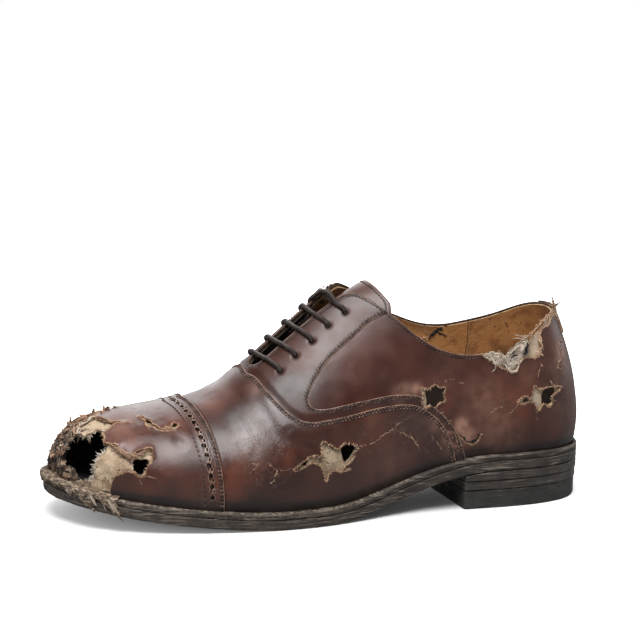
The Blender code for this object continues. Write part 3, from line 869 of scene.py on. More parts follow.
class Recipe:
    """One material, built up from nodes."""

    def __init__(self, name: str, roughness: float, coat: float = 0.0, sheen: float = 0.0,
                 shine: float = 0.5) -> None:
        """Start a material.

        Args:
            name: its name.
            roughness: how dull it is all over.
            coat: weight of a clear polish on top.
            sheen: weight of fuzz.
            shine: strength of the plain reflection.
        """
        self.material = bpy.data.materials.new(name)
        self.material.use_nodes = True
        self.tree = self.material.node_tree
        self.shader = self.tree.nodes["Principled BSDF"]
        self.shader.inputs["Specular IOR Level"].default_value = shine
        self.shader.inputs["Roughness"].default_value = roughness
        self.shader.inputs["Coat Weight"].default_value = coat
        self.shader.inputs["Coat Roughness"].default_value = 0.24
        self.shader.inputs["Sheen Weight"].default_value = sheen
        self.where = self.tree.nodes.new("ShaderNodeTexCoord").outputs["Object"]

    def feed(self, socket: bpy.types.NodeSocket, value: object) -> None:
        """Link a socket to another, or set its value."""
        if isinstance(value, bpy.types.NodeSocket):
            self.tree.links.new(value, socket)
        elif isinstance(value, tuple):
            socket.default_value = (*value, 1.0)
        else:
            socket.default_value = value

    def spread(self, stretch: Triple) -> bpy.types.NodeSocket:
        """Coordinates in mm, stretched along the axes."""
        mapping = self.tree.nodes.new("ShaderNodeMapping")
        mapping.inputs["Scale"].default_value = tuple(1.0 / (MM * part) for part in stretch)
        self.tree.links.new(self.where, mapping.inputs["Vector"])
        return mapping.outputs["Vector"]

    def noise(self, size: float, detail: float = 3.0, twist: float = 0.0,
              stretch: Triple = (1.0, 1.0, 1.0)) -> bpy.types.NodeSocket:
        """Cloudy noise from 0 to 1.

        Args:
            size: width of its bumps in mm.
            detail: how many finer layers it has.
            twist: how much it is distorted.
            stretch: how much longer its bumps are along x, y and z.

        Returns:
            The noise's socket.
        """
        node = self.tree.nodes.new("ShaderNodeTexNoise")
        self.tree.links.new(self.spread(tuple(size * part for part in stretch)), node.inputs["Vector"])
        node.inputs["Scale"].default_value = 1.0
        node.inputs["Detail"].default_value = detail
        node.inputs["Distortion"].default_value = twist
        return node.outputs["Fac"]

    def cells(self, size: float) -> bpy.types.NodeSocket:
        """Distance to the edges of small cells, as in grain; size is a cell's width in mm."""
        node = self.tree.nodes.new("ShaderNodeTexVoronoi")
        node.feature = "DISTANCE_TO_EDGE"
        self.tree.links.new(self.spread((size, size, size)), node.inputs["Vector"])
        node.inputs["Scale"].default_value = 1.0
        return node.outputs["Distance"]

    def mark(self, name: str) -> bpy.types.NodeSocket:
        """Value of a named mark."""
        node = self.tree.nodes.new("ShaderNodeAttribute")
        node.attribute_name = name
        return node.outputs["Fac"]

    def maths(self, what: str, a: object, b: object = 0.0) -> bpy.types.NodeSocket:
        """Arithmetic on two values.

        Args:
            what: the operation's name.
            a: first value or socket.
            b: second value or socket.

        Returns:
            The result's socket.
        """
        node = self.tree.nodes.new("ShaderNodeMath")
        node.operation = what
        self.feed(node.inputs[0], a)
        self.feed(node.inputs[1], b)
        return node.outputs[0]

    def times(self, a: object, b: object) -> bpy.types.NodeSocket:
        """Product of two values."""
        return self.maths("MULTIPLY", a, b)

    def plus(self, a: object, b: object) -> bpy.types.NodeSocket:
        """Sum of two values."""
        return self.maths("ADD", a, b)

    def less(self, a: object, b: object) -> bpy.types.NodeSocket:
        """The first value less the second."""
        return self.maths("SUBTRACT", a, b)

    def most(self, a: object, b: object) -> bpy.types.NodeSocket:
        """The greater of two values."""
        return self.maths("MAXIMUM", a, b)

    def least(self, a: object, b: object) -> bpy.types.NodeSocket:
        """The smaller of two values."""
        return self.maths("MINIMUM", a, b)

    def step(self, value: object, low: float, high: float, start: float = 0.0,
             end: float = 1.0) -> bpy.types.NodeSocket:
        """Smooth step of a value.

        Args:
            value: socket that is measured.
            low: value at which the step starts.
            high: value at which it is complete.
            start: result before the step.
            end: result after it.

        Returns:
            The result's socket.
        """
        node = self.tree.nodes.new("ShaderNodeMapRange")
        node.interpolation_type = "SMOOTHSTEP"
        self.feed(node.inputs["Value"], value)
        for label, number in (("From Min", low), ("From Max", high), ("To Min", start), ("To Max", end)):
            node.inputs[label].default_value = number
        return node.outputs["Result"]

    def blend(self, share: object, a: object, b: object) -> bpy.types.NodeSocket:
        """Mix two colours; share is how much of the second."""
        node = self.tree.nodes.new("ShaderNodeMix")
        node.data_type = "RGBA"
        self.feed(node.inputs[0], share)
        self.feed(node.inputs[6], a)
        self.feed(node.inputs[7], b)
        return node.outputs[2]

    def hairlines(self, size: float, width: float, shown: float) -> bpy.types.NodeSocket:
        """Thin wandering lines, broken up into stretches.

        Args:
            size: how far apart they wander, in mm.
            width: share of the noise that a line takes up.
            shown: how much of their length shows, from 0 to 1.

        Returns:
            A socket that is 1 on a line.
        """
        off = self.maths("ABSOLUTE", self.less(self.noise(size, 2.0, 0.9), 0.5))
        line = self.step(off, 0.0, width, 1.0, 0.0)
        stretches = self.step(self.noise(size * 1.3, 1.0), 0.62 - 0.3 * shown, 0.70 - 0.3 * shown)
        return self.times(line, stretches)

    def finish(self, colour: object, roughness: object = None, height: object = None,
               relief: float = 0.2) -> bpy.types.Material:
        """Close the material.

        Args:
            colour: colour or its socket.
            roughness: roughness socket where it varies.
            height: height socket for the bump.
            relief: bump height in mm.

        Returns:
            The material.
        """
        self.feed(self.shader.inputs["Base Color"], colour)
        if roughness is not None:
            self.feed(self.shader.inputs["Roughness"], roughness)
        if height is not None:
            bump = self.tree.nodes.new("ShaderNodeBump")
            bump.inputs["Strength"].default_value = 1.0
            bump.inputs["Distance"].default_value = relief * MM
            self.tree.links.new(height, bump.inputs["Height"])
            self.tree.links.new(bump.outputs["Normal"], self.shader.inputs["Normal"])
            self.tree.links.new(bump.outputs["Normal"], self.shader.inputs["Coat Normal"])
        return self.material


@dataclass(frozen=True)
class PolishedLeather:
    """Box calf, burnished and with painted shade, with pale patches that are partly painted sheen, warm worn
    places, scuffs and fine grain.
    """

    name: str
    deep: Colour = (0.041, 0.0115, 0.0074)
    brown: Colour = (0.078, 0.0235, 0.0140)
    warm: Colour = (0.150, 0.040, 0.020)
    burnish_and_shade: Colour = (0.012, 0.0065, 0.0055)
    scuffed: Colour = (0.200, 0.115, 0.085)
    groove: Colour = (0.010, 0.006, 0.005)
    worn_edge_and_highlight: Colour = (0.350, 0.220, 0.160)
    roughness: float = 0.31
    coat: float = 0.34
    shine: float = 0.5
    bloom_and_sheen: Colour = (0.400, 0.215, 0.155)
    seam_rows: tuple = (0.85, 2.0)  # stitch rows, in mm from a stitched seam edge
    hem_rows: tuple = (1.9,)        # stitch rows, in mm from the top line

    def make(self) -> bpy.types.Material:
        """The leather's material."""
        use = Recipe(self.name, self.roughness, self.coat, shine=self.shine)
        colour = use.blend(use.step(use.noise(26.0, 2.0), 0.34, 0.66), self.deep, self.brown)
        warm = use.times(use.mark("warm"), use.step(use.noise(9.0, 3.0), 0.25, 0.62))
        colour = use.blend(warm, colour, self.warm)
        # Dark mark: real burnished wax with painted shade, near the welt, along seams and the top line,
        # round eyelets and in spots.
        dark = use.times(use.mark("dark"), use.step(use.noise(12.0, 2.0), 0.20, 0.60, 0.8, 1.0))
        colour = use.blend(dark, colour, self.burnish_and_shade)
        # Pale patches: real whitish and abraded ones, and broad faint ones that are painted sheen.
        bloom_and_sheen = use.times(use.mark("bloom_and_sheen"), use.step(use.noise(6.0, 4.0), 0.30, 0.66, 0.35, 1.0))
        colour = use.blend(bloom_and_sheen, colour, self.bloom_and_sheen)
        rubbed = use.times(use.mark("scuff"), use.step(use.noise(3.2, 4.0, 0.6), 0.50, 0.66))
        hair = use.times(use.hairlines(17.0, 0.008, 0.35),
                         use.step(use.mark("scuff"), 0.02, 0.35, 0.08, 1.0))
        pale = use.most(use.times(rubbed, 0.45), use.times(hair, 0.8))
        colour = use.blend(pale, colour, self.scuffed)
        # Stitch grooves are only bumps; their very dark colour is painted shade.
        groove = 0.0
        for label, rows in (("seam", self.seam_rows), ("hem", self.hem_rows)):
            for row in rows:
                off = use.maths("ABSOLUTE", use.less(use.mark(label), row))
                groove = use.most(groove, use.step(off, 0.28, 0.56, 1.0, 0.0))
        colour = use.blend(use.times(groove, 0.9), colour, self.groove)
        # Pale line along seams, the top line and punched holes: worn cut edges with painted highlight.
        edge = use.least(use.mark("seam"), use.mark("hem"))
        edge = use.times(use.step(edge, 0.16, 0.46, 1.0, 0.0),
                         use.step(use.noise(4.0, 4.0), 0.34, 0.56, 0.30, 1.0))
        colour = use.blend(edge, colour, self.worn_edge_and_highlight)
        rough = use.step(use.noise(13.0, 4.0), 0.3, 0.7, self.roughness - 0.07, self.roughness + 0.11)
        rough = use.plus(rough, use.times(use.most(rubbed, hair), 0.30))
        rough = use.plus(rough, use.times(dark, 0.12))
        grain = use.times(use.step(use.cells(0.75), 0.0, 0.16), 0.10)
        fine = use.maths("ABSOLUTE", use.less(use.noise(3.4, 3.0, 1.2, stretch=(1.0, 1.0, 1.8)), 0.5))
        flexed = use.times(use.step(fine, 0.0, 0.05), use.times(use.mark("flex"), 0.16))
        height = use.plus(grain, flexed)
        height = use.plus(height, use.times(use.noise(6.0, 2.0), 0.30))
        height = use.less(height, use.times(groove, 1.6))
        height = use.less(height, use.times(pale, 0.5))
        return use.finish(colour, rough, height, 0.16)


@dataclass(frozen=True)
class RawLeather:
    """Torn or cut edge of leather and its fibrous back."""

    name: str
    pale: Colour = (0.52, 0.33, 0.20)
    dull: Colour = (0.20, 0.105, 0.062)
    fibre: float = 0.9

    def make(self) -> bpy.types.Material:
        """The raw leather's material."""
        use = Recipe(self.name, 0.92)
        fleck = use.noise(self.fibre, 4.0, 0.5)
        colour = use.blend(use.step(use.noise(4.5, 3.0), 0.36, 0.60), self.dull, self.pale)
        colour = use.blend(use.step(fleck, 0.60, 0.75, 0.0, 0.6), colour, self.dull)
        # Painted shade and dirt: raw edges and backs go very dark along the top line and where they lie in
        # the shoe's hollows and folds.
        soil_and_shade = use.times(use.mark("soil_and_shade"), use.step(use.noise(3.0, 3.0), 0.30, 0.55, 0.75, 1.0))
        colour = use.blend(soil_and_shade, colour, tuple(0.22 * part for part in self.dull))
        return use.finish(colour, None, fleck, 0.35)


@dataclass(frozen=True)
class Lining:
    """Lining leather or canvas with stains, cracks and a soft nap."""

    name: str
    colour: Colour
    stain: Colour
    dirt: Colour
    crack: float = 0.0
    stained: float = 0.5
    nap: float = 0.25

    def make(self) -> bpy.types.Material:
        """The lining's material."""
        use = Recipe(self.name, 0.72, sheen=0.05)
        blotch = use.step(use.noise(11.0, 4.0, 0.4), 0.62 - 0.22 * self.stained, 0.78 - 0.20 * self.stained)
        colour = use.blend(use.times(blotch, 0.8), self.colour, self.stain)
        speck = use.step(use.noise(2.2, 3.0), 0.64, 0.72)
        colour = use.blend(use.times(speck, 0.65), colour, self.dirt)
        lines = use.hairlines(6.0, 0.016, self.crack)
        colour = use.blend(use.times(lines, min(1.0, 2.0 * self.crack)), colour, self.dirt)
        # Painted shade and dirt: very dark deep in the shoe, in folds and under the upper, and dirt on the
        # toe's crusted rim.
        soil_and_shade = use.times(use.mark("soil_and_shade"), use.step(use.noise(3.4, 4.0), 0.36, 0.62, 0.85, 1.0))
        colour = use.blend(soil_and_shade, colour, tuple(0.16 * part for part in self.dirt))
        height = use.plus(use.noise(0.8, 4.0), use.times(use.noise(4.0, 3.0), 1.4))
        height = use.less(height, use.times(lines, self.crack * 1.5))
        return use.finish(colour, None, height, self.nap)


@dataclass(frozen=True)
class SoleEdge:
    """Inked sole leather, scuffed along its length and dusty."""

    name: str
    ink: Colour = (0.034, 0.027, 0.023)
    worn: Colour = (0.150, 0.118, 0.092)
    dust: Colour = (0.270, 0.224, 0.184)
    dusty: float = 0.5
    roughness: float = 0.55
    fray: Colour = (0.260, 0.200, 0.150)

    def make(self) -> bpy.types.Material:
        """The sole edge's material."""
        use = Recipe(self.name, self.roughness)
        streak = use.noise(0.55, 3.0, 0.1, stretch=(26.0, 26.0, 1.0))
        patch = use.step(use.noise(9.0, 3.0), 0.40, 0.66)
        colour = use.blend(use.times(use.step(streak, 0.52, 0.74), 0.55), self.ink, self.worn)
        colour = use.blend(use.times(patch, 0.30), colour, self.worn)
        cloud = use.times(use.step(use.noise(15.0, 3.0), 0.36, 0.60), use.step(streak, 0.53, 0.63))
        colour = use.blend(use.times(cloud, self.dusty), colour, self.dust)
        grit = use.step(use.noise(1.0, 3.0), 0.68, 0.76, 0.0, self.dusty)
        colour = use.blend(grit, colour, self.dust)
        frayed = use.times(use.mark("frayed"), use.step(use.noise(1.6, 4.0, 0.5), 0.36, 0.64))
        colour = use.blend(frayed, colour, self.fray)
        rough = use.step(use.noise(5.0, 3.0), 0.3, 0.7, self.roughness - 0.1, self.roughness + 0.2)
        height = use.plus(use.times(streak, 0.5), use.times(use.noise(0.8, 3.0), 0.5))
        return use.finish(colour, rough, height, 0.25)


@dataclass(frozen=True)
class Fibre:
    """Loose fibres, threads and tufts, each of its own shade."""

    name: str
    dark: Colour
    pale: Colour
    roughness: float = 0.9

    def make(self) -> bpy.types.Material:
        """The fibres' material."""
        use = Recipe(self.name, self.roughness, sheen=0.1)
        fleck = use.noise(0.7, 3.0)
        share = use.plus(use.mark("shade"), use.step(fleck, 0.3, 0.7, -0.2, 0.2))
        return use.finish(use.blend(share, self.dark, self.pale), None, fleck, 0.15)


@dataclass(frozen=True)
class Matted:
    """Dirty matted fibres of torn leather and lining."""

    name: str
    dark: Colour = (0.060, 0.042, 0.031)
    mid: Colour = (0.200, 0.140, 0.095)
    pale: Colour = (0.520, 0.410, 0.300)
    size: float = 0.8

    def make(self) -> bpy.types.Material:
        """The mat's material."""
        use = Recipe(self.name, 0.92)
        flow = use.noise(self.size, 4.0, 0.8, stretch=(4.0, 3.0, 1.0))
        colour = use.blend(use.step(use.noise(3.3 * self.size, 4.0, 0.4), 0.40, 0.60), self.dark, self.mid)
        colour = use.blend(use.step(flow, 0.52, 0.64, 0.0, 0.9), colour, self.pale)
        # Painted shade in the hollows between the lumps.
        colour = use.blend(use.mark("pit_shade"), colour, tuple(0.3 * part for part in self.dark))
        return use.finish(colour, None, use.plus(flow, use.noise(2.0, 4.0)), 0.7)


@dataclass(frozen=True)
class WaxedCord:
    """Round waxed lace with a fine braid."""

    name: str
    colour: Colour = (0.030, 0.019, 0.016)
    worn: Colour = (0.085, 0.060, 0.048)

    def make(self) -> bpy.types.Material:
        """The cord's material."""
        use = Recipe(self.name, 0.46, 0.12)
        left = use.maths("SINE", use.plus(use.times(use.mark("along"), 4.2), use.mark("around")))
        right = use.maths("SINE", use.less(use.times(use.mark("along"), 4.2), use.mark("around")))
        braid = use.times(use.plus(use.times(left, right), 1.0), 0.5)
        colour = use.blend(use.step(use.noise(3.0, 3.0), 0.45, 0.75, 0.0, 0.8), self.colour, self.worn)
        return use.finish(colour, None, braid, 0.30)


# ---------------------------------------------------------------- lines drawn on the last

FACING_SEAM = Line(((4.40, 0.80), (4.62, 0.72), (5.00, 0.672), (5.32, 0.625), (5.74, 0.59), (6.06, 0.555),
                    (6.30, 0.505), (6.39, 0.465), (6.34, 0.425), (6.14, 0.395), (5.76, 0.375), (5.12, 0.362),
                    (4.50, 0.368), (4.08, 0.360), (3.84, 0.325), (3.66, 0.28), (3.50, 0.235), (3.33, 0.16),
                    (3.20, 0.065), (3.14, 0.0), (3.10, -0.06)))
VAMP_SEAM = Line(((7.26, 1.06), (7.30, 0.95), (7.31, 0.86), (7.22, 0.775), (7.12, 0.645), (6.92, 0.505),
                  (6.70, 0.42), (6.44, 0.37), (6.08, 0.345), (5.46, 0.325), (4.82, 0.325), (4.34, 0.326),
                  (4.04, 0.312), (3.84, 0.28), (3.62, 0.225), (3.44, 0.135), (3.32, 0.025), (3.28, -0.06)))
CAP_SEAM = Line(tuple((8.28 + 0.33 * max(climb, 0.0) ** 1.5, climb)
                      for climb in np.linspace(-0.06, 1.06, 12)))
QUARTER_AREA = Area(FACING_SEAM, ((-0.5, -0.1), (-0.5, 1.2), (4.40, 1.2)))
VAMP_AREA = Area(VAMP_SEAM, ((12.5, -0.06), (12.5, 1.06)))
CAP_AREA = Area(CAP_SEAM, ((12.5, 1.06), (12.5, -0.06)))
EYELETS = ((6.78, 0.690), (6.45, 0.705), (6.11, 0.715), (5.77, 0.735), (5.42, 0.755))
INNER_EYELET_CLIMB = 0.87
INNER_EYELET_FORWARD = 0.23


def eyelets(side: Side) -> list[tuple[float, float]]:
    """(turn, climb) of one side's eyelets, toe end first."""
    if side is Side.OUTER:
        return list(EYELETS)
    return [(TURNS - turn - INNER_EYELET_FORWARD, INNER_EYELET_CLIMB) for turn, _ in EYELETS]


@dataclass(frozen=True)
class Tear:
    """Place where a layer is torn away."""

    points: tuple
    rag: float = 0.55               # how far its edge wanders, in mm
    curl: float = 0.5               # how far its edge stands up, in mm

    def depth(self, patch: Patch) -> Array:
        """How far each corner of a patch is from the tear, in mm, negative where it is torn away."""
        clear = -Area(Line(self.points, closed=True)).depth(patch, TEAR_REACH)
        noise = Noise(11).layered(patch.place, 2.6) + 0.5 * Noise(12).at(patch.place, 1.1)
        return clear + self.rag * noise


CAP_TEAR = Tear(((13.10, -0.08), (13.02, 0.04), (13.10, 0.20), (12.92, 0.34), (13.00, 0.50), (12.74, 0.62),
                 (12.62, 0.76), (12.10, 0.735), (11.40, 0.735), (10.90, 0.715), (10.50, 0.720),
                 (10.12, 0.706), (10.50, 0.694), (10.64, 0.66), (10.74, 0.57), (10.66, 0.455), (10.54, 0.43),
                 (10.32, 0.415), (10.16, 0.33), (9.98, 0.338), (9.88, 0.385), (9.66, 0.405), (9.64, 0.33),
                 (9.73, 0.26), (9.80, 0.195), (9.90, 0.175), (9.98, 0.21), (10.22, 0.185), (10.34, 0.14),
                 (10.40, 0.06), (10.42, -0.08), (11.40, -0.10)), 0.8, 0.9)
CAP_SPLIT = Tear(((9.88, 0.792), (9.74, 0.762), (9.67, 0.722), (9.58, 0.706), (9.55, 0.664), (9.46, 0.622),
                  (9.36, 0.594), (9.27, 0.612), (9.20, 0.598), (9.13, 0.642), (9.02, 0.622), (9.13, 0.586),
                  (9.26, 0.588), (9.36, 0.574), (9.47, 0.598), (9.58, 0.632), (9.69, 0.655), (9.70, 0.704),
                  (9.76, 0.744)), 0.75, 0.8)
TOE_HOLE = Tear(((11.74, 0.37), (11.74, 0.455), (11.50, 0.50), (11.30, 0.485), (11.12, 0.595),
                 (10.76, 0.590), (10.60, 0.49), (10.58, 0.375), (10.70, 0.285), (10.76, 0.205),
                 (10.74, 0.105), (10.96, 0.055), (11.20, 0.06), (11.30, 0.115), (11.54, 0.125),
                 (11.72, 0.16), (11.70, 0.28)), 0.8)
SIDE_HOLE = Tear(((10.01, 0.31), (9.86, 0.325), (9.70, 0.315), (9.74, 0.26), (9.82, 0.205), (9.92, 0.185),
                  (10.0, 0.225)), 0.3)
VAMP_TEAR = Tear(((6.84, 0.19), (6.52, 0.225), (6.38, 0.225), (6.25, 0.218), (6.21, 0.268), (6.06, 0.25),
                  (5.88, 0.222), (5.68, 0.232), (5.40, 0.205), (5.49, 0.183), (5.48, 0.168), (5.72, 0.143),
                  (5.56, 0.130), (5.80, 0.132), (5.96, 0.142), (6.08, 0.132), (6.14, 0.108), (6.21, 0.148),
                  (6.26, 0.178), (6.48, 0.20), (6.62, 0.19)), 0.35, 0.8)
VAMP_HOLE = Tear(((5.76, 0.216), (5.56, 0.222), (5.42, 0.203), (5.50, 0.178), (5.68, 0.162)), 0.2)
VAMP_SLIT = Tear(((6.67, 0.206), (6.60, 0.222), (6.50, 0.207), (6.60, 0.195)), 0.15)
QUARTER_TEAR = Tear(((3.97, 0.33), (3.93, 0.36), (3.98, 0.385), (3.82, 0.385), (3.72, 0.398), (3.62, 0.380),
                     (3.53, 0.378), (3.56, 0.345), (3.53, 0.315), (3.62, 0.312), (3.70, 0.292),
                     (3.80, 0.305), (3.90, 0.296)), 0.35, 0.6)
QUARTER_HOLE = Tear(((3.86, 0.335), (3.88, 0.365), (3.84, 0.400), (3.70, 0.420), (3.55, 0.400),
                     (3.45, 0.370), (3.45, 0.330), (3.50, 0.290), (3.70, 0.270), (3.84, 0.288)), 0.3)
HEEL_TEAR = Tear(((2.36, 0.272), (2.24, 0.302), (2.14, 0.287), (2.08, 0.322), (2.04, 0.357), (1.98, 0.335),
                  (1.86, 0.335), (1.70, 0.340), (1.42, 0.332), (1.58, 0.31), (1.72, 0.288), (1.66, 0.262),
                  (1.80, 0.240), (1.88, 0.26), (1.99, 0.222), (2.08, 0.272), (2.22, 0.268)), 0.3, 0.8)
HEEL_HOLE = Tear(((1.87, 0.318), (1.70, 0.338), (1.56, 0.330), (1.60, 0.290), (1.68, 0.255), (1.84, 0.245),
                  (1.90, 0.268)), 0.2)
HEEL_SLIT = Tear(((2.26, 0.275), (2.20, 0.297), (2.15, 0.28), (2.20, 0.268)), 0.1)
COLLAR_TEAR = Tear(((2.98, 0.85), (2.92, 0.56), (2.86, 0.515), (2.62, 0.458), (2.40, 0.430), (2.26, 0.478),
                    (2.14, 0.503), (1.98, 0.498), (1.82, 0.508), (1.76, 0.56), (1.70, 0.622), (1.36, 0.650),
                    (1.20, 0.672), (0.84, 0.690), (0.62, 0.703), (0.60, 0.85)), 0.6, 0.5)
LINING_TEAR = Tear(((2.92, 0.85), (2.78, 0.60), (2.60, 0.535), (2.44, 0.500), (2.30, 0.510), (2.14, 0.480),
                    (2.02, 0.540), (1.90, 0.600), (1.66, 0.655), (1.30, 0.675), (0.90, 0.70), (0.80, 0.85)),
                   0.7)

# Ragged outlines of two pieces that fill tears: the felt at the collar and the crust at the toe
FELT = Tear(((2.90, 0.525), (2.60, 0.525), (2.54, 0.505), (2.34, 0.550), (2.18, 0.580), (2.02, 0.590),
             (1.98, 0.545), (2.12, 0.500), (2.26, 0.470), (2.40, 0.428), (2.54, 0.450), (2.66, 0.440),
             (2.74, 0.450), (2.78, 0.485)), 0.9)
CRUST = Tear(((13.60, -0.06), (13.50, 0.12), (13.30, 0.36), (13.00, 0.56), (12.55, 0.70), (12.20, 0.66),
              (12.00, 0.56), (11.80, 0.47), (11.72, 0.38), (11.66, 0.28), (11.66, 0.19), (11.46, 0.14),
              (11.26, 0.115), (11.10, 0.05), (11.05, -0.06)), 1.3)


@dataclass(frozen=True)
class Dent:
    """Place where the worn toe has sunk in."""

    places: tuple                   # (turn, climb, radius and depth in mm)

    def depth(self, patch: Patch) -> Array:
        """How far each corner of a patch has sunk in, in mm."""
        return sum(deep * bell(np.linalg.norm(patch.place - LAST.point(turn, climb), axis=1), radius)
                   for turn, climb, radius, deep in self.places)


TOE_DENT = Dent(((12.15, 0.40, 8.0, 2.4), (12.7, 0.66, 5.0, 1.2), (11.9, 0.14, 5.0, 1.2)))


@dataclass(frozen=True)
class Crease:
    """Soft trough pressed or worn into the leather, with a slight ridge beside it."""

    line: Line
    depth: float
    width: float

    def relief(self, patch: Patch) -> Array:
        """Height that the crease adds at each corner of a patch, in mm."""
        pairs = self.line.spaced(0.4)
        place = LAST.point(pairs[:, 0], pairs[:, 1])
        away = nearest(patch.place, place, 6.0 * self.width)
        ends = np.minimum(np.linalg.norm(patch.place - place[0], axis=1),
                          np.linalg.norm(patch.place - place[-1], axis=1))
        fade = ramp(ends, 0.0, 5.0)
        return self.depth * fade * (0.45 * bell(away - 1.9 * self.width, self.width)
                                    - bell(away, self.width))


@dataclass(frozen=True)
class Blot:
    """Round worn or coloured place."""

    turn: float
    climb: float
    radius: float
    strength: float = 1.0


def painted(patch: Patch, blots: Sequence[Blot]) -> Array:
    """Sum of some blots at the corners of a patch, no more than 1."""
    total = np.zeros(len(patch.turn))
    for blot in blots:
        away = np.linalg.norm(patch.place - LAST.point(blot.turn, blot.climb), axis=1)
        total += blot.strength * bell(away, blot.radius)
    return np.clip(total, 0.0, 1.0)


WARM_BLOTS = (
    Blot(10.42, 0.80, 8), Blot(10.12, 0.50, 9), Blot(9.42, 0.17, 12), Blot(8.30, 0.17, 9, 0.8),
    Blot(8.14, 0.80, 10, 0.8), Blot(7.9, 0.175, 12), Blot(6.95, 0.24, 8, 0.7), Blot(2.46, 0.27, 12),
    Blot(3.50, 0.32, 8, 0.7), Blot(3.2, 0.16, 6, 0.7), Blot(9.1, 0.66, 8, 0.6), Blot(5.0, 0.25, 12, 0.5),
    Blot(14.2, 0.40, 14, 0.7), Blot(16.5, 0.25, 14, 0.7), Blot(21.5, 0.30, 16, 0.6), Blot(1.0, 0.5, 8, 0.5),
)
SCUFF_BLOTS = (
    Blot(10.6, 0.70, 9, 0.7), Blot(9.7, 0.30, 6, 0.5), Blot(9.3, 0.60, 7, 0.45), Blot(8.6, 0.10, 7, 0.4),
    Blot(7.2, 0.19, 8, 0.5), Blot(7.7, 0.24, 6, 0.4), Blot(5.2, 0.22, 8, 0.5), Blot(4.4, 0.22, 9, 0.55),
    Blot(3.9, 0.13, 8, 0.6), Blot(3.6, 0.40, 6, 0.5), Blot(3.25, 0.17, 5, 1.0), Blot(2.7, 0.24, 8, 0.5),
    Blot(1.9, 0.40, 9, 0.45), Blot(1.2, 0.45, 7, 0.6), Blot(2.6, 0.10, 8, 0.5), Blot(1.3, 0.2, 7, 0.5),
    Blot(3.62, 0.25, 4, 1.0), Blot(3.45, 0.19, 4, 1.0), Blot(3.32, 0.12, 4, 1.0), Blot(3.25, 0.06, 4, 1.0),
    Blot(0.0, 0.08, 9, 0.5), Blot(13.2, 0.25, 12, 0.6), Blot(15.5, 0.12, 10, 0.5),
    Blot(18.0, 0.18, 12, 0.45), Blot(22.3, 0.15, 12, 0.5), Blot(23.4, 0.4, 8, 0.4),
)
# Pale patches: real whitish and abraded ones near the tears, and broad faint ones that are painted sheen.
BLOOM_AND_SHEEN_BLOTS = (
    Blot(2.90, 0.30, 13, 0.32), Blot(2.62, 0.13, 12, 0.28), Blot(4.07, 0.387, 3.2, 1.0),
    Blot(4.30, 0.395, 3.5, 0.45), Blot(3.25, 0.185, 3.6, 1.3), Blot(3.14, 0.130, 3.8, 1.5),
    Blot(7.62, 0.37, 11, 0.20), Blot(4.42, 0.365, 5, 0.45), Blot(6.20, 0.64, 8, 0.14),
    Blot(1.45, 0.42, 10, 0.22), Blot(2.2, 0.42, 11, 0.18), Blot(4.05, 0.24, 10, 0.12),
    Blot(3.70, 0.22, 4, 0.45), Blot(3.48, 0.14, 4, 0.45), Blot(3.36, 0.07, 4, 0.45),
    Blot(1.22, 0.50, 5, 0.45), Blot(10.35, 0.62, 7, 0.30), Blot(5.05, 0.30, 7, 0.10),
    Blot(3.55, 0.47, 9, 0.10), Blot(7.30, 0.70, 5, 0.25), Blot(1.60, 0.24, 10, 0.16),
    Blot(8.60, 0.12, 9, 0.10), Blot(4.6, 0.10, 11, 0.14), Blot(0.6, 0.45, 10, 0.2),
    Blot(22.6, 0.30, 14, 0.16), Blot(20.2, 0.20, 14, 0.16), Blot(15.4, 0.45, 11, 0.12),
)
# Spots of painted shade, darker and a little rougher.
PAINTED_SHADE_BLOTS = (
    Blot(6.66, 0.57, 9, 0.65), Blot(7.78, 0.62, 9, 0.60), Blot(7.60, 0.10, 14, 0.7),
    Blot(6.8, 0.14, 10, 0.5), Blot(9.30, 0.12, 10, 0.55), Blot(5.70, 0.10, 12, 0.5),
    Blot(3.80, 0.53, 10, 0.35), Blot(8.9, 0.27, 7, 0.4), Blot(1.6, 0.27, 8, 0.4), Blot(16.6, 0.12, 14, 0.5),
)
FLEX_BLOTS = (
    Blot(7.5, 0.45, 15, 0.9), Blot(7.0, 0.30, 13, 0.8), Blot(16.5, 0.45, 16, 0.8), Blot(6.3, 0.28, 14, 0.6),
    Blot(17.2, 0.28, 13, 0.7), Blot(8.0, 0.9, 12, 0.4),
)
CREASES = (
    Crease(Line(((7.86, 0.70), (7.74, 0.56), (7.62, 0.44), (7.50, 0.34))), 0.22, 0.55),
    Crease(Line(((7.76, 0.68), (7.62, 0.53), (7.50, 0.41))), 0.18, 0.5),
    Crease(Line(((8.10, 0.86), (8.02, 0.66), (7.86, 0.48), (7.72, 0.34))), 0.20, 4.0),
    Crease(Line(((7.36, 0.70), (7.26, 0.54), (7.14, 0.40), (7.02, 0.30))), 0.25, 3.2),
    Crease(Line(((6.86, 0.36), (6.60, 0.29), (6.30, 0.27), (6.00, 0.27))), 0.28, 2.6),
    Crease(Line(((16.2, 0.70), (16.3, 0.54), (16.42, 0.42), (16.54, 0.32))), 0.30, 0.9),
    Crease(Line(((15.9, 0.86), (15.98, 0.66), (16.14, 0.48), (16.28, 0.34))), 0.30, 2.8),
    Crease(Line(((16.64, 0.70), (16.74, 0.54), (16.86, 0.40), (16.98, 0.30))), 0.35, 2.4),
    Crease(Line(((5.40, 0.50), (5.00, 0.46), (4.60, 0.47))), 0.25, 4.0),
    Crease(Line(((4.30, 0.55), (4.00, 0.47), (3.70, 0.44))), 0.25, 3.0),
    Crease(Line(((19.6, 0.50), (20.0, 0.44), (20.4, 0.46))), 0.35, 3.5),
    Crease(Line(((2.9, 0.36), (2.6, 0.32), (2.3, 0.33))), 0.25, 3.0),
    Crease(Line(((9.35, 0.75), (9.2, 0.60), (9.05, 0.45))), 0.20, 2.5),
)


# ---------------------------------------------------------------- the upper

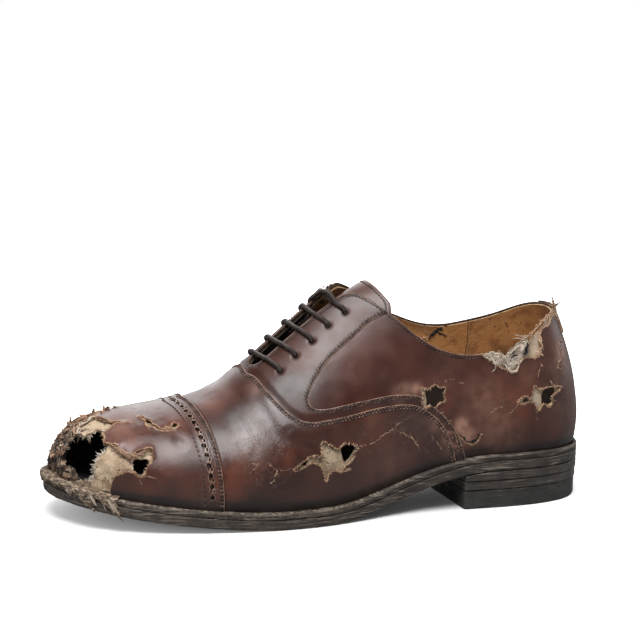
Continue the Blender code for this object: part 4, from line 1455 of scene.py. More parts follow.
@dataclass
class Upper:
    """Leather panels and linings of the upper, with the crust at the toe and the felt at the collar."""

    leather: float = 1.1
    cap_top: float = 1.45           # how far the cap's face stands out from the last
    facing_lift: float = 0.85
    vamp_lift: float = 1.05
    lining_out: float = -1.25
    lining_thick: float = 0.9
    underlap: float = 5.0           # how far a panel runs under the one that laps over it
    cap_underlap: float = 8.0       # how far the vamp runs under the cap
    tab_reach: float = 0.66         # how far the heel tab reaches to each side, in turns
    eyelet_radius: float = 1.75
    punch_row: float = 6.3          # from the cap's seam edge to the middle of its punched band
    punch_pitch: float = 5.6
    punch_radius: float = 1.35
    pin_rows: tuple = (5.5, 7.2)    # from the cap's seam edge to the small holes
    pin_radius: float = 0.72
    cap_girth: float = 72.0         # length of the cap's seam on one side, about

    def __post_init__(self) -> None:
        """Mix the finishes."""
        self.polished = PolishedLeather("polished_leather").make()
        self.cap_leather = PolishedLeather("cap_leather", deep=(0.054, 0.0165, 0.0108),
                                           brown=(0.099, 0.030, 0.0175), coat=0.38, roughness=0.33,
                                           seam_rows=(0.85, 2.0), hem_rows=()).make()
        self.quarter_leather = PolishedLeather("quarter_leather", deep=(0.050, 0.0150, 0.0105),
                                               brown=(0.090, 0.0285, 0.0190), coat=0.06, roughness=0.37,
                                               shine=0.45).make()
        self.facing_leather = PolishedLeather("facing_leather", coat=0.16, roughness=0.35,
                                              seam_rows=(1.0,)).make()
        self.facing_back = Lining("facing_lining", (0.50, 0.34, 0.160), (0.30, 0.19, 0.09),
                                  (0.10, 0.06, 0.035), crack=0.1).make()
        self.raw = RawLeather("raw_leather").make()
        self.flesh = RawLeather("flesh_side", pale=(0.26, 0.16, 0.10), dull=(0.12, 0.070, 0.045)).make()
        self.beige = Lining("toe_lining", (0.60, 0.455, 0.310), (0.34, 0.225, 0.135), (0.13, 0.078, 0.048),
                            crack=0.8, stained=0.70, nap=0.4).make()
        self.beige_edge = RawLeather("lining_edge", pale=(0.66, 0.52, 0.38), dull=(0.30, 0.21, 0.14)).make()
        self.inside_toe = Lining("toe_inside", (0.105, 0.068, 0.048), (0.055, 0.036, 0.027),
                                 (0.20, 0.15, 0.11), stained=0.8, nap=0.6).make()
        self.tan = Lining("quarter_lining", (0.48, 0.215, 0.070), (0.27, 0.105, 0.034),
                          (0.085, 0.038, 0.020), crack=0.12, stained=0.62).make()
        self.backing = Lining("lining_back", (0.62, 0.50, 0.37), (0.40, 0.30, 0.20), (0.15, 0.10, 0.07),
                              crack=0.5, stained=0.45).make()
        self.tan_edge = RawLeather("topline_edge", pale=(0.60, 0.42, 0.25), dull=(0.34, 0.20, 0.11)).make()
        self.matted = Matted("matted_rim", dark=(0.030, 0.019, 0.014), mid=(0.125, 0.078, 0.050),
                             pale=(0.400, 0.270, 0.175), size=2.2).make()
        self.felt = Lining("heel_felt", (0.56, 0.47, 0.38), (0.40, 0.31, 0.235), (0.17, 0.12, 0.085),
                           crack=0.5, stained=0.5, nap=0.5).make()

    def relief(self, patch: Patch) -> Array:
        """Creases and soft unevenness of the leather at each corner of a patch, in mm."""
        soft = 0.34 * Noise(3).layered(patch.place, 24.0, 2) + 0.10 * Noise(4).at(patch.place, 7.0)
        return soft + sum(crease.relief(patch) for crease in CREASES)

    def marked(self, patch: Patch, seam: Array | float = SEAM_REACH, hem: Array | float = SEAM_REACH,
               tear: Array | float = TEAR_REACH) -> Patch:
        """Give a patch every mark that the leather's finish reads.

        Args:
            patch: the patch.
            seam: distance from its stitched seam edge in mm.
            hem: distance from its top line in mm.
            tear: distance from torn edges in mm.

        Returns:
            The patch.
        """
        level = np.zeros(len(patch.turn))
        seam, hem, tear = level + seam, level + hem, level + tear
        # Painted shade with real burnished wax: darker towards the welt, along seams and the top line, and
        # in the spots of painted shade.
        foot = patch.place[:, 2] - LAST.floor_line(patch.place[:, 0]) - LAST.feather_height
        dark = np.clip((1.0 - ramp(foot, 2.0, 6.0)) + 0.28 * (1.0 - ramp(foot, 2.0, 11.0))
                       + 0.22 * (1.0 - ramp(np.minimum(seam, hem), 0.5, 3.5)), 0.0, 1.0)
        # The raw edge and back go darker along the top line.
        return patch.marked(soil_and_shade=(1.0 - ramp(hem, 0.4, 1.0)) * (tear > 1.5),
                            bloom_and_sheen=painted(patch, BLOOM_AND_SHEEN_BLOTS), seam=seam, hem=hem, tear=tear,
                            dark=np.clip(dark + painted(patch, PAINTED_SHADE_BLOTS), 0.0, 1.0),
                            warm=painted(patch, WARM_BLOTS), scuff=painted(patch, SCUFF_BLOTS),
                            flex=painted(patch, FLEX_BLOTS))

    def curled(self, patch: Patch, tears: Sequence[tuple[Tear, Array]]) -> Array:
        """How far torn edges stand up at each corner of a patch.

        Args:
            patch: the patch.
            tears: each tear with the corners' distances from it.

        Returns:
            Heights in mm.
        """
        lift = np.zeros(len(patch.turn))
        for tear, depth in tears:
            lift += (tear.curl * np.exp(-np.maximum(depth, 0.0) / 1.3)
                     * (0.55 + 0.9 * Noise(21).at(patch.place, 4.0)))
        return lift

    def torn(self, patch: Patch, tears: Sequence[Tear]) -> tuple[Patch, Array, Array]:
        """Tear a patch.

        Args:
            patch: the patch.
            tears: what is torn away.

        Returns:
            The torn patch, its corners' distances from the tears and how far its edges stand up.
        """
        depths = [tear.depth(patch) for tear in tears]
        nearest_tear = np.minimum.reduce(depths)
        patch.marks["tear"] = nearest_tear
        patch.marks["curl"] = self.curled(patch, list(zip(tears, depths)))
        torn = patch.clipped(nearest_tear)
        return torn, torn.marks["tear"], torn.marks.pop("curl")

    def vamp(self) -> bpy.types.Object:
        """Front panel from the cap back under the facings' strip, torn on the outer side."""
        patch = Patch.covering(3.0, 8.95, 0.80, fine=((5.3, 6.95, 0.55),)).joined(
            Patch.covering(15.05, 21.0, 1.05))
        edge = VAMP_AREA.depth(patch, both_sides=True)
        cap = CAP_AREA.depth(patch, both_sides=True)
        patch.marked(edge=edge, cap=cap)
        patch = patch.clipped(np.minimum(edge, self.cap_underlap - cap))
        patch = patch.clipped(np.minimum(LAST.room(patch.place, patch.outer) + 0.4, 12.0))
        patch, tear, curl = self.torn(patch, (VAMP_TEAR, QUARTER_TEAR))
        edge, cap = patch.marks.pop("edge"), patch.marks.pop("cap")
        top = (self.vamp_lift * (1.0 - ramp(edge, 4.0, 15.0)) - 0.35 * (1.0 - ramp(edge, 0.0, 0.9))
               - 0.9 * ramp(cap, -1.5, 0.5) + self.relief(patch) + curl)
        patch = self.marked(patch, seam=edge, tear=tear)
        return make_sheet("vamp", patch, top, self.leather, (self.polished, self.raw, self.flesh),
                          0.30, replaces=("upper",))

    def toe_cap(self) -> bpy.types.Object:
        """Cap over the toe with its punched band, torn open at the tip."""
        patch = Patch.covering(8.2, 15.8, 0.85,
                               fine=((8.2, 9.15, 0.42), (9.15, 12.6, 0.55), (14.85, 15.8, 0.5)))
        patch = patch.welded()
        edge = CAP_AREA.depth(patch, reach=16.0, both_sides=True)
        patch.marked(edge=edge, hole=self.punched(patch))
        patch = patch.clipped(np.minimum(edge, patch.marks["hole"]))
        patch, tear, curl = self.torn(patch, (CAP_TEAR, CAP_SPLIT))
        edge, hole = patch.marks.pop("edge"), patch.marks.pop("hole")
        droop = 1.6 * Noise(31).at(patch.place, 6.0) * np.exp(-np.maximum(tear, 0.0) / 2.6)
        rim = 0.22 * bell(hole - 0.35, 0.35) - 0.12 * bell(edge - 6.3, 3.0)
        top = (self.cap_top - 0.4 * (1.0 - ramp(edge, 0.0, 0.9)) + self.relief(patch) + curl
               + 0.35 * droop + rim)
        # Punched holes count as top line here, so they get the pale rim of wear and painted highlight.
        patch = self.marked(patch, seam=edge, hem=hole + 0.13, tear=tear)
        return make_sheet("toe_cap", patch, top, self.leather, (self.cap_leather, self.raw, self.flesh),
                          0.6, replaces=("toe_cap",))

    def punched(self, patch: Patch) -> Array:
        """Distance from each corner to the holes punched along the cap's band, in mm."""
        clear = np.full(len(patch.turn), 6.0)
        seam = CAP_SEAM.points
        for side in Side:
            for turn, climb in Line(seam).spaced(self.punch_pitch, side, 2.0):
                if not 0.02 < climb < 0.995:
                    continue
                sign = 1.0 if side is Side.OUTER else -1.0
                pace = np.linalg.norm(LAST.point(turn + 0.01, climb) - LAST.point(turn, climb)) / 0.01
                centre = turn + sign * self.punch_row / pace
                away = np.linalg.norm(patch.place - LAST.point(centre, climb), axis=1)
                clear = np.minimum(clear, away - self.punch_radius)
                for across in self.pin_rows:
                    rise = climb + 0.5 * self.punch_pitch / self.cap_girth
                    small = LAST.point(turn + sign * across / pace, rise)
                    away = np.linalg.norm(patch.place - small, axis=1)
                    clear = np.minimum(clear, away - self.pin_radius)
        return clear

    def facing(self, side: Side) -> bpy.types.Object:
        """One eyelet facing with its strip that runs back and down to the welt."""
        start, stop = sorted((float(side.turn(3.0)), float(side.turn(7.75))))
        fine = 0.66 if side is Side.OUTER else 0.85
        patch = Patch.covering(start, stop, fine)
        seam = -QUARTER_AREA.depth(patch, both_sides=True)
        vamp = VAMP_AREA.depth(patch, both_sides=True)
        patch.marked(edge=seam, vamp=vamp)
        patch = patch.clipped(np.minimum(seam, self.underlap - vamp))
        patch.marked(hem=LAST.room(patch.place, patch.outer))
        holes = np.min([np.linalg.norm(patch.place - LAST.point(turn, climb), axis=1)
                        for turn, climb in eyelets(side)], axis=0) - self.eyelet_radius
        patch.marked(hole=holes)
        patch = patch.clipped(np.minimum(patch.marks["hem"], holes))
        rough = [tear for tear in (QUARTER_TEAR, VAMP_TEAR) if side is Side.OUTER]
        if rough:
            patch, tear, curl = self.torn(patch, rough)
        else:
            tear, curl = TEAR_REACH, 0.0
        edge, vamp, hem, hole = (patch.marks.pop(label) for label in ("edge", "vamp", "hem", "hole"))
        worn = (0.9 * ramp(-patch.climb, -0.30, -0.20) * ramp(-patch.turn, -4.2, -3.7)
                * Noise(41).layered(patch.place, 2.2))
        top = (self.facing_lift - 0.95 * ramp(vamp, -4.5, 0.0) - 0.35 * (1.0 - ramp(edge, 0.0, 0.9))
               - 0.3 * (1.0 - ramp(hem, 0.0, 0.8)) - 0.35 * (1.0 - ramp(hole, 0.0, 1.4))
               + self.relief(patch) + curl + worn)
        patch = self.marked(patch, seam=edge, hem=hem, tear=tear)
        # Painted shade round the eyelet holes.
        patch.marks["dark"] = np.maximum(patch.marks["dark"], 0.8 - 0.8 * ramp(hole, 0.0, 0.5))
        return make_sheet(f"facing_{side.name.lower()}", patch, top, self.leather,
                          (self.facing_leather, self.raw, self.facing_back), 0.45)

    def quarters(self) -> bpy.types.Object:
        """Rear panel round the heel from facing to facing, torn at the heel, the collar and the side."""
        patch = Patch.covering(-7.0, 7.0, 0.95, high=0.90, fine=((1.2, 2.6, 0.6), (2.9, 4.2, 0.6)))
        seam = QUARTER_AREA.depth(patch, both_sides=True)
        patch.marked(edge=seam)
        patch = patch.clipped(seam + self.underlap)
        patch.marked(hem=LAST.room(patch.place, patch.outer))
        patch = patch.clipped(patch.marks["hem"])
        patch, tear, curl = self.torn(patch, (COLLAR_TEAR, HEEL_TEAR, QUARTER_TEAR))
        edge, hem = patch.marks.pop("edge"), patch.marks.pop("hem")
        peel = 0.7 * bell(np.linalg.norm(patch.place - LAST.point(1.2, 0.49), axis=1), 5.0)
        top = (-0.45 * (1.0 - ramp(edge, -2.0, 0.2)) - 0.3 * (1.0 - ramp(hem, 0.0, 0.8))
               + self.relief(patch) + curl + peel * np.abs(Noise(51).at(patch.place, 3.0)))
        patch = self.marked(patch, seam=np.where(edge > 0, edge + 4.0, SEAM_REACH), hem=hem, tear=tear)
        return make_sheet("quarters", patch, top, self.leather, (self.quarter_leather, self.raw, self.flesh),
                          0.5)

    def heel_tab(self) -> bpy.types.Object:
        """Small tab stitched over the top of the back seam."""
        patch = Patch.covering(-self.tab_reach, self.tab_reach, 0.6, low=0.56, high=0.74)
        hem = LAST.room(patch.place, patch.outer) + 0.4
        width = 12.5 * (self.tab_reach - np.abs(patch.turn)) - 0.4
        foot = (patch.climb - 0.585) * 100.0 + 0.9 * np.abs(patch.turn)
        edge = np.minimum(width, foot)
        patch.marked(edge=edge + 0.25 * Noise(61).at(patch.place, 2.0), hem=hem)
        patch = patch.clipped(np.minimum(patch.marks["edge"], hem))
        edge, hem = patch.marks.pop("edge"), patch.marks.pop("hem")
        top = (1.1 - 0.4 * (1.0 - ramp(np.minimum(edge, hem), 0.0, 0.8))
               + 0.25 * Noise(62).at(patch.place, 5.0))
        patch = self.marked(patch, seam=edge, hem=hem)
        return make_sheet("heel_tab", patch, top, 1.0, (self.polished, self.raw, self.flesh),
                          replaces=("heel_tab",))

    def toe_lining(self) -> bpy.types.Object:
        """Beige lining of the forefoot, holed at the toe and the side."""
        patch = Patch.covering(6.0, 18.0, 1.6, fine=((6.0, 6.95, 0.7), (9.4, 12.5, 0.62))).welded()
        holes = Patch.covering(5.1, 6.0001, 0.7, low=0.0, high=1.0)
        patch = patch.joined(holes)
        patch = patch.clipped(LAST.room(patch.place, patch.outer))
        patch, tear, _ = self.torn(patch, (TOE_HOLE, SIDE_HOLE, VAMP_HOLE, VAMP_SLIT))
        near_toe = ramp(patch.place[:, 0], 225.0, 250.0)
        crust = np.maximum(ramp(patch.turn, 11.2, 11.6), 0.8 * ramp(patch.climb, 0.60, 0.68)) * near_toe
        rough = (0.25 + 0.60 * near_toe) * Noise(81).layered(patch.place, 7.0, 3)
        folds = 1.0 - np.abs(Noise(85).layered(patch.place, 6.5, 2)) ** 0.5
        rough = rough + (0.75 * near_toe + 0.35) * folds
        bulge = 1.1 * bell(np.linalg.norm(patch.place - LAST.point(6.02, 0.178), axis=1), 5.0)
        bulge = bulge + 0.8 * bell(np.linalg.norm(patch.place - LAST.point(10.45, 0.22), axis=1), 6.0)
        rough = rough + crust * (0.6 * Noise(84).layered(patch.place, 4.5, 3) + 0.1) - TOE_DENT.depth(patch)
        frayed = 0.9 * np.exp(-np.maximum(tear, 0.0) / 1.5) * Noise(82).at(patch.place, 3.0) * near_toe
        top = self.lining_out + rough * (0.3 + near_toe) + frayed + bulge
        # Painted shade along the throat, low in the toe's hole and on the inner side's lining, and dirt
        # where the far rim is crusted.
        beside = LAST.room(patch.place, patch.outer)
        soil_and_shade = np.maximum((1.0 - ramp(beside, 3.0, 9.0)) * (patch.place[:, 0] < LAST.throat_x + 6.0),
                          0.80 * ramp(patch.turn, 11.55, 12.1) * (1.0 - ramp(patch.climb, 0.45, 0.58)))
        soil_and_shade = np.maximum(soil_and_shade, 0.62 * ramp(patch.turn, 10.78, 11.0) * (1.0 - ramp(patch.climb, 0.14, 0.26)))
        soil_and_shade = np.maximum(np.clip(soil_and_shade, 0.0, 0.92), 1.3 * (~patch.outer & (patch.place[:, 0] < 215.0)))
        patch.marked(soil_and_shade=soil_and_shade)
        return make_sheet("toe_lining", patch.marked(tear=tear), top, self.lining_thick + 0.3 * near_toe,
                          (self.beige, self.beige_edge, self.inside_toe), 0.7)

    def quarter_lining(self) -> bpy.types.Object:
        """Tan lining of the quarters and the collar."""
        front = 5.1
        patch = Patch.covering(-6.0, front, 1.35, high=0.95, fine=((0.5, 3.0, 0.75), (3.4, 4.1, 0.7)))
        patch = patch.clipped(LAST.room(patch.place, patch.outer) - 1.0)
        patch, tear, _ = self.torn(patch, (LINING_TEAR, QUARTER_HOLE, HEEL_HOLE, HEEL_SLIT))
        soft = 0.22 * Noise(83).layered(patch.place, 12.0, 3)
        soft = soft + 0.55 * Noise(86).layered(patch.place * (1.0, 1.0, 0.22), 8.0, 2)
        hem = LAST.room(patch.place, patch.outer)
        top = self.lining_out + soft * ramp(hem, 0.5, 5.0)
        # Painted shade at the throat, low down and deep in the shoe on the inner side, and darker near the
        # top line forward of the heel.
        throat = (1.0 - ramp(hem, 2.0, 8.0)) * ramp(patch.place[:, 0], 129.0, 142.0)
        low = 1.0 - ramp(patch.place[:, 2], 42.0, 58.0)
        throat = throat * (1.0 - 0.9 * ramp(patch.place[:, 2], 92.0, 101.0))
        deep = np.maximum(1.3 * np.maximum(ramp(hem, 18.0, 36.0), low) * ~patch.outer,
                          0.85 * throat * (tear > 0.8))
        patch.marked(soil_and_shade=np.clip(deep + 0.35 * (1.0 - ramp(hem, 2.0, 7.0))
                                  * ramp(patch.place[:, 0], 60.0, 84.0), 0.0, 1.3))
        return make_sheet("quarter_lining", patch.marked(tear=tear), top, self.lining_thick,
                          (self.backing, self.tan_edge, self.tan), 0.5)

    @staticmethod
    def filling(patch: Patch, outline: Tear) -> tuple[Patch, Array]:
        """The part of a patch within a ragged outline, and its corners' distances from the outline."""
        depth = -outline.depth(patch)
        patch = patch.marked(edge=depth).clipped(depth)
        return patch, patch.marks.pop("edge")

    def toe_crust(self) -> bpy.types.Object:
        """Matted fibres over the far rim of the toe's hole."""
        patch, edge = self.filling(Patch.covering(10.9, 13.8, 0.5, low=0.0, high=0.76), CRUST)
        lumps = np.abs(Noise(95).at(patch.place, 5.0)) + 0.35 * np.abs(Noise(96).at(patch.place, 2.0))
        swell = 0.9 * Noise(97).layered(patch.place, 7.0, 2)
        # Painted shade where the lumps are low.
        patch.marked(pit_shade=1.0 - ramp(lumps + 0.3 * swell, 0.16, 0.50))
        top = (self.lining_out + 0.4 + 2.1 * lumps + swell - 1.3 * (1.0 - ramp(edge, 0.0, 1.8))
               - TOE_DENT.depth(patch))
        return make_sheet("toe_crust", patch, top, 1.0, (self.matted, self.matted, self.matted))

    def heel_felt(self) -> bpy.types.Object:
        """Crumpled grey backing that shows in the torn collar."""
        patch, edge = self.filling(Patch.covering(1.5, 3.1, 0.5, low=0.38, high=0.70), FELT)
        folds = Noise(91).layered(patch.place, 6.0, 4)
        creased = 1.0 - np.abs(Noise(92).at(patch.place, 4.2)) ** 0.5
        top = -0.45 + 1.4 * folds + 1.0 * creased - 0.9 * (1.0 - ramp(edge, 0.0, 2.2))
        # Painted shade in the felt's folds and creases.
        patch.marked(soil_and_shade=np.clip(1.1 * ramp(-folds, 0.18, 0.62) + 0.6 * ramp(creased, 0.80, 1.0), 0.0, 0.9),
                     tear=edge)
        return make_sheet("collar_felt", patch, top, 0.9, (self.felt, self.beige_edge, self.felt),
                          0.3)

    def build(self) -> list[bpy.types.Object]:
        """Build every panel, and return those of leather."""
        pieces = [self.vamp(), self.toe_cap(), *(self.facing(side) for side in Side), self.quarters(),
                  self.heel_tab()]
        self.toe_lining()
        self.quarter_lining()
        self.toe_crust()
        self.heel_felt()
        return pieces


# ---------------------------------------------------------------- sole, welt, heel and insole

def loft(rings: Sequence[Array], closed_profile: bool = False) -> tuple[Array, Array]:
    """Skin closed rings one after another.

    Args:
        rings: loops of equally many places in mm, each round the same way.
        closed_profile: whether the last ring joins the first.

    Returns:
        Corners and triangles, outward where the rings go round to the left and rise.
    """
    size = len(rings[0])
    points = np.concatenate(rings)
    count = len(rings)
    rows = np.arange(count if closed_profile else count - 1)
    a = rows[:, None] * size + np.arange(size)[None]
    b = rows[:, None] * size + (np.arange(size)[None] + 1) % size
    return points, quads(a, b, (b + size) % len(points), (a + size) % len(points))


def joined(points: Array, faces: Array) -> tuple[Array, Array]:
    """Corners and triangles with the corners that lie together welded."""
    first, faces = weld(points, faces)
    return points[first], faces


def raised(points: Array, rise: Array) -> Array:
    """Points moved up by some heights."""
    return points + np.column_stack([np.zeros((len(points), 2)), rise])


@dataclass
class Sole:
    """Outsole, welt, stacked heel and insole."""

    outsole_thick: float = 5.4
    welt_thick: float = 3.0
    gap: float = 0.3
    breast_x: float = 76.5
    heel_middle: float = 38.0       # x of the place that the heel's flat faces close on
    top_piece: float = 10.0
    heel_taper: float = 0.5
    heel_wear: float = 1.6
    heel_wear_length: float = 16.0
    toe_wear: float = 1.9           # how far the welt is worn back at the toe
    step: float = 1.0

    def __post_init__(self) -> None:
        """Mix the finishes."""
        self.edge = SoleEdge("sole_edge", dusty=0.85).make()
        self.welt_finish = SoleEdge("welt_edge", ink=(0.026, 0.020, 0.017), worn=(0.095, 0.070, 0.054),
                                    dusty=0.70).make()
        self.stack = SoleEdge("heel_stack", ink=(0.040, 0.033, 0.029), worn=(0.105, 0.088, 0.075),
                              dusty=0.42, roughness=0.5).make()
        self.rubber = SoleEdge("heel_rubber", ink=(0.034, 0.033, 0.032), worn=(0.070, 0.066, 0.062),
                               dust=(0.16, 0.145, 0.13), dusty=0.35, roughness=0.66).make()
        self.sock = Lining("insole_leather", (0.36, 0.215, 0.105), (0.17, 0.095, 0.050),
                           (0.07, 0.045, 0.030), crack=0.4, stained=0.8).make()

    def toe_worn(self, turn: Array) -> Array:
        """How worn the edge is at each turn, from 0 to 1."""
        turn = np.asarray(turn) % TURNS
        return ramp(turn, 9.6, 10.7) * (1.0 - ramp(turn, 12.6, 13.6))

    def ring(self, turns: Array, out: Array | float, lift: float, spine: float = 0.0) -> Array:
        """Loop round the sole.

        Args:
            turns: where its places lie.
            out: how far they stand out from the foot line, in mm.
            lift: height over the sole's underside.
            spine: share of the way in to the middle line.

        Returns:
            The places in mm.
        """
        plan = LAST.outline(turns, out)
        middle = (plan + LAST.outline(-turns, out)) / 2
        plan = plan * (1 - spine) + middle * spine
        return np.column_stack([plan, LAST.floor_line(plan[:, 0]) + lift])

    def turns(self) -> Array:
        """Turns that lie about a step apart all the way round."""
        path = LAST.outline(np.linspace(0, TURNS, 4801))
        rows = evenly(path, self.step * SPACING)
        half = rows[rows < 2400] / 200.0
        return np.concatenate([half, [TOE_TURN], (TURNS - half[::-1])[:-1]])

    def worn_rings(self, turns: Array, profile: Sequence[tuple[float, float, float]], bite: float,
                   seed: int) -> list[Array]:
        """Rings of a worn edge.

        Args:
            turns: where the rings' places lie.
            profile: (inset from the edge, height, share of the wear) for each ring.
            bite: how far the toe's edge is worn back.
            seed: seed of the unevenness.

        Returns:
            The rings.
        """
        width = LAST.welt_width(turns)
        along = self.ring(turns, width, 0.0)
        worn = self.toe_worn(turns)
        rings = []
        for inset, height, share in profile:
            spot = along + np.array([0.0, 0.0, 3.1 * height])
            rough = (0.16 * Noise(seed).layered(spot, 5.0, 3)
                     + 0.10 * Noise(seed + 1).at(spot * (0.15, 0.15, 1.0), 1.4))
            eaten = worn * bite * np.clip(0.45 + 0.9 * Noise(seed + 2).layered(spot, 6.0, 3), 0.0, 1.4)
            rings.append(self.ring(turns, width - inset + share * (rough - eaten), height))
        return rings

    def outsole(self) -> bpy.types.Object:
        """Leather outsole with a rounded, scuffed edge."""
        turns = self.turns()
        thick = self.outsole_thick
        width = LAST.welt_width(turns)
        side = [(1.1, 0.0, 0.5), (0.4, 0.12, 1.0), (0.1, 0.45, 1.0), (0.0, 1.2, 1.0), (0.0, 2.0, 1.0),
                (0.05, 2.8, 1.0), (0.0, 3.6, 1.0), (0.0, 4.5, 1.0), (0.0, thick - 0.25, 1.0),
                (0.2, thick - 0.03, 1.0), (1.2, thick, 0.3)]
        rings = [self.ring(turns, width - 1.2, 0.0, spine) for spine in (1.0, 0.75, 0.5, 0.3, 0.15, 0.05)]
        rings += self.worn_rings(turns, side, 1.0, 101)
        rings += [self.ring(turns, width - 1.5, thick, spine) for spine in (0.1, 0.5, 1.0)]
        points, faces = joined(*loft(rings))
        lip = bell(points[:, 2] - LAST.floor_line(points[:, 0]) - 0.35, 0.5)
        points = raised(points, 0.45 * lip * np.abs(Noise(107).layered(points, 2.6, 2)))
        under = points[:, 2] - LAST.floor_line(points[:, 0])
        frayed = 0.25 * self.toe_worn(self.turn_of(points)) * ramp(under, 2.0, 5.0)
        frayed = frayed + 0.14 * ramp(points[:, 0], 135.0, 195.0)
        return make_piece("outsole", points, faces, [self.edge], marks={"frayed": frayed},
                          crease=60, replaces=("outsole",))

    def turn_of(self, points: Array) -> Array:
        """Turn of the outline that lies nearest each point's direction, for the forefoot."""
        turns = np.linspace(0, TURNS, 481)
        rim = LAST.outline(turns, 3.0)
        tree = tree_of(np.column_stack([rim, np.zeros(len(rim))]))
        return np.array([turns[tree.find((x, y, 0.0))[1]] for x, y, _ in points])

    def welt(self) -> bpy.types.Object:
        """Welt with a stitch channel, worn ragged at the toe."""
        turns = self.turns()
        low = self.outsole_thick + self.gap
        high = low + self.welt_thick
        outside = [(0.3, low, 0.6), (0.0, low + 0.2, 1.0), (0.0, low + 1.0, 1.0), (0.05, low + 1.6, 1.0),
                   (0.0, high - 0.8, 1.0), (0.15, high - 0.3, 1.0), (0.6, high, 1.0),
                   (1.1, high + 0.02, 0.8), (1.5, high - 0.02, 0.6), (1.8, high - 0.30, 0.5),
                   (2.2, high - 0.30, 0.4), (2.5, high, 0.3)]
        rings = [self.ring(turns, -3.0, low)] + self.worn_rings(turns, outside, self.toe_wear, 111)
        rings += [self.ring(turns, 0.4, high), self.ring(turns, -3.0, high)]
        points, faces = loft(rings, closed_profile=True)
        worn = self.toe_worn(self.turn_of(points))
        points = raised(points, worn * 0.7 * np.abs(Noise(117).layered(points, 4.0, 3))
                        * (points[:, 2] > LAST.floor_line(points[:, 0]) + high - 1.0))
        top = ramp(points[:, 2] - LAST.floor_line(points[:, 0]), low + 1.0, high - 0.3)
        front = ramp(points[:, 0], 120.0, 152.0)
        frayed = np.clip(worn * (0.45 + 0.65 * top) + 0.12 * top + 0.20 * front, 0.0, 1.0)
        return make_piece("welt", points, faces, [self.welt_finish],
                          marks={"frayed": frayed}, crease=60, replaces=("welt",))

    def heel_loop(self, taper: float) -> Array:
        """Plan of one heel layer, evenly spaced and with softened corners."""
        stop = np.linspace(2.5, 4.0, 1501)
        plan = LAST.outline(stop, LAST.welt_width(stop))
        last = float(stop[np.argmax(plan[:, 0] >= self.breast_x)])
        turns = np.linspace(-last, last, 900)
        plan = LAST.outline(turns, LAST.welt_width(turns) - taper)
        breast = np.linspace(plan[-1], plan[0], 120)[1:-1]
        ring = np.concatenate([plan, breast, plan[:1]])
        loop = at_rows(ring, evenly(ring, self.step * SPACING))
        for _ in range(2):
            loop = 0.5 * loop + 0.25 * (np.roll(loop, 1, axis=0) + np.roll(loop, -1, axis=0))
        return loop[::-1] if self._clockwise(loop) else loop

    @staticmethod
    def _clockwise(loop: Array) -> bool:
        """Whether a loop goes round to the right."""
        following = np.roll(loop, -1, axis=0)
        return float(np.sum(loop[:, 0] * following[:, 1] - loop[:, 1] * following[:, 0])) < 0

    def heel_layer(self, name: str, low: Callable[[Array], Array], high: Callable[[Array], Array],
                   taper: float, material: bpy.types.Material, seed: int,
                   layered: int) -> bpy.types.Object:
        """One layer of the heel.

        Args:
            name: its name.
            low: height of its underside at x.
            high: height of its top at x.
            taper: how far it steps in.
            material: its finish.
            seed: seed of its unevenness.
            layered: how many fine leather layers show in its edge.

        Returns:
            The object.
        """
        loop = self.heel_loop(taper)
        outward = unit(np.roll(loop, -1, axis=0) - np.roll(loop, 1, axis=0)) @ np.array([[0, -1], [1, 0]])
        middle = np.array([self.heel_middle, 0.0])
        stations = [(0.35, 0.0), (0.08, 0.03), (0.0, 0.09)]
        stations += [(0.0, share) for share in np.linspace(0.13, 0.87, 10 if layered > 1 else 8)]
        stations += [(0.0, 0.91), (0.08, 0.97), (0.35, 1.0)]
        rings, shade = [], []
        for inset, share in stations:
            plan = loop - outward * inset
            height = low(plan[:, 0]) * (1 - share) + high(plan[:, 0]) * share
            spot = np.column_stack([plan, height])
            rough = 0.14 * Noise(seed).layered(spot, 6.0, 3)
            groove = 0.09 * max(0.0, math.cos(2 * math.pi * layered * share)) ** 8 if layered > 1 else 0.0
            plan = plan + outward * (rough * (inset < 0.5) - groove)[:, None]
            rings.append(np.column_stack([plan, height]))
            shade.append(np.full(len(plan), 0.75 if 0.05 < inset < 0.2 or groove > 0.05 else 0.0))
        for share in (0.5, 0.0):
            plan = middle + (rings[0][:, :2] - middle) * share
            rings.insert(0, np.column_stack([plan, low(plan[:, 0])]))
            plan = middle + (rings[-1][:, :2] - middle) * share
            rings.append(np.column_stack([plan, high(plan[:, 0])]))
            shade = [np.zeros(len(loop))] + shade + [np.zeros(len(loop))]
        points, faces = loft(rings)
        frayed = np.concatenate(shade) * np.clip(0.4 + Noise(seed + 5).layered(points, 9.0, 2), 0.0, 1.0)
        return make_piece(name, points, faces, [material], marks={"frayed": frayed}, crease=60,
                          replaces=(name,))

    def heel(self) -> None:
        """Top piece and lifts, worn at the back edge."""
        seat = LAST.seat_height
        lift = (seat - self.top_piece) / 2

        def tread(x: Array) -> Array:
            """Underside of the top piece."""
            return self.heel_wear * np.clip(1.0 - x / self.heel_wear_length, 0.0, 1.0) ** 2

        def level(height: float) -> Callable[[Array], Array]:
            """A height that follows the seat down at the breast."""
            return lambda x: np.minimum(height, LAST.floor_line(x) - self.gap)

        self.heel_layer("heel_top_piece", tread, level(self.top_piece), 2 * self.heel_taper, self.rubber,
                        131, 1)
        self.heel_layer("heel_lift_1", level(self.top_piece + self.gap), level(self.top_piece + lift),
                        self.heel_taper, self.stack, 141, 2)
        self.heel_layer("heel_lift_2", level(self.top_piece + lift + self.gap), level(seat), 0.0, self.stack,
                        151, 2)

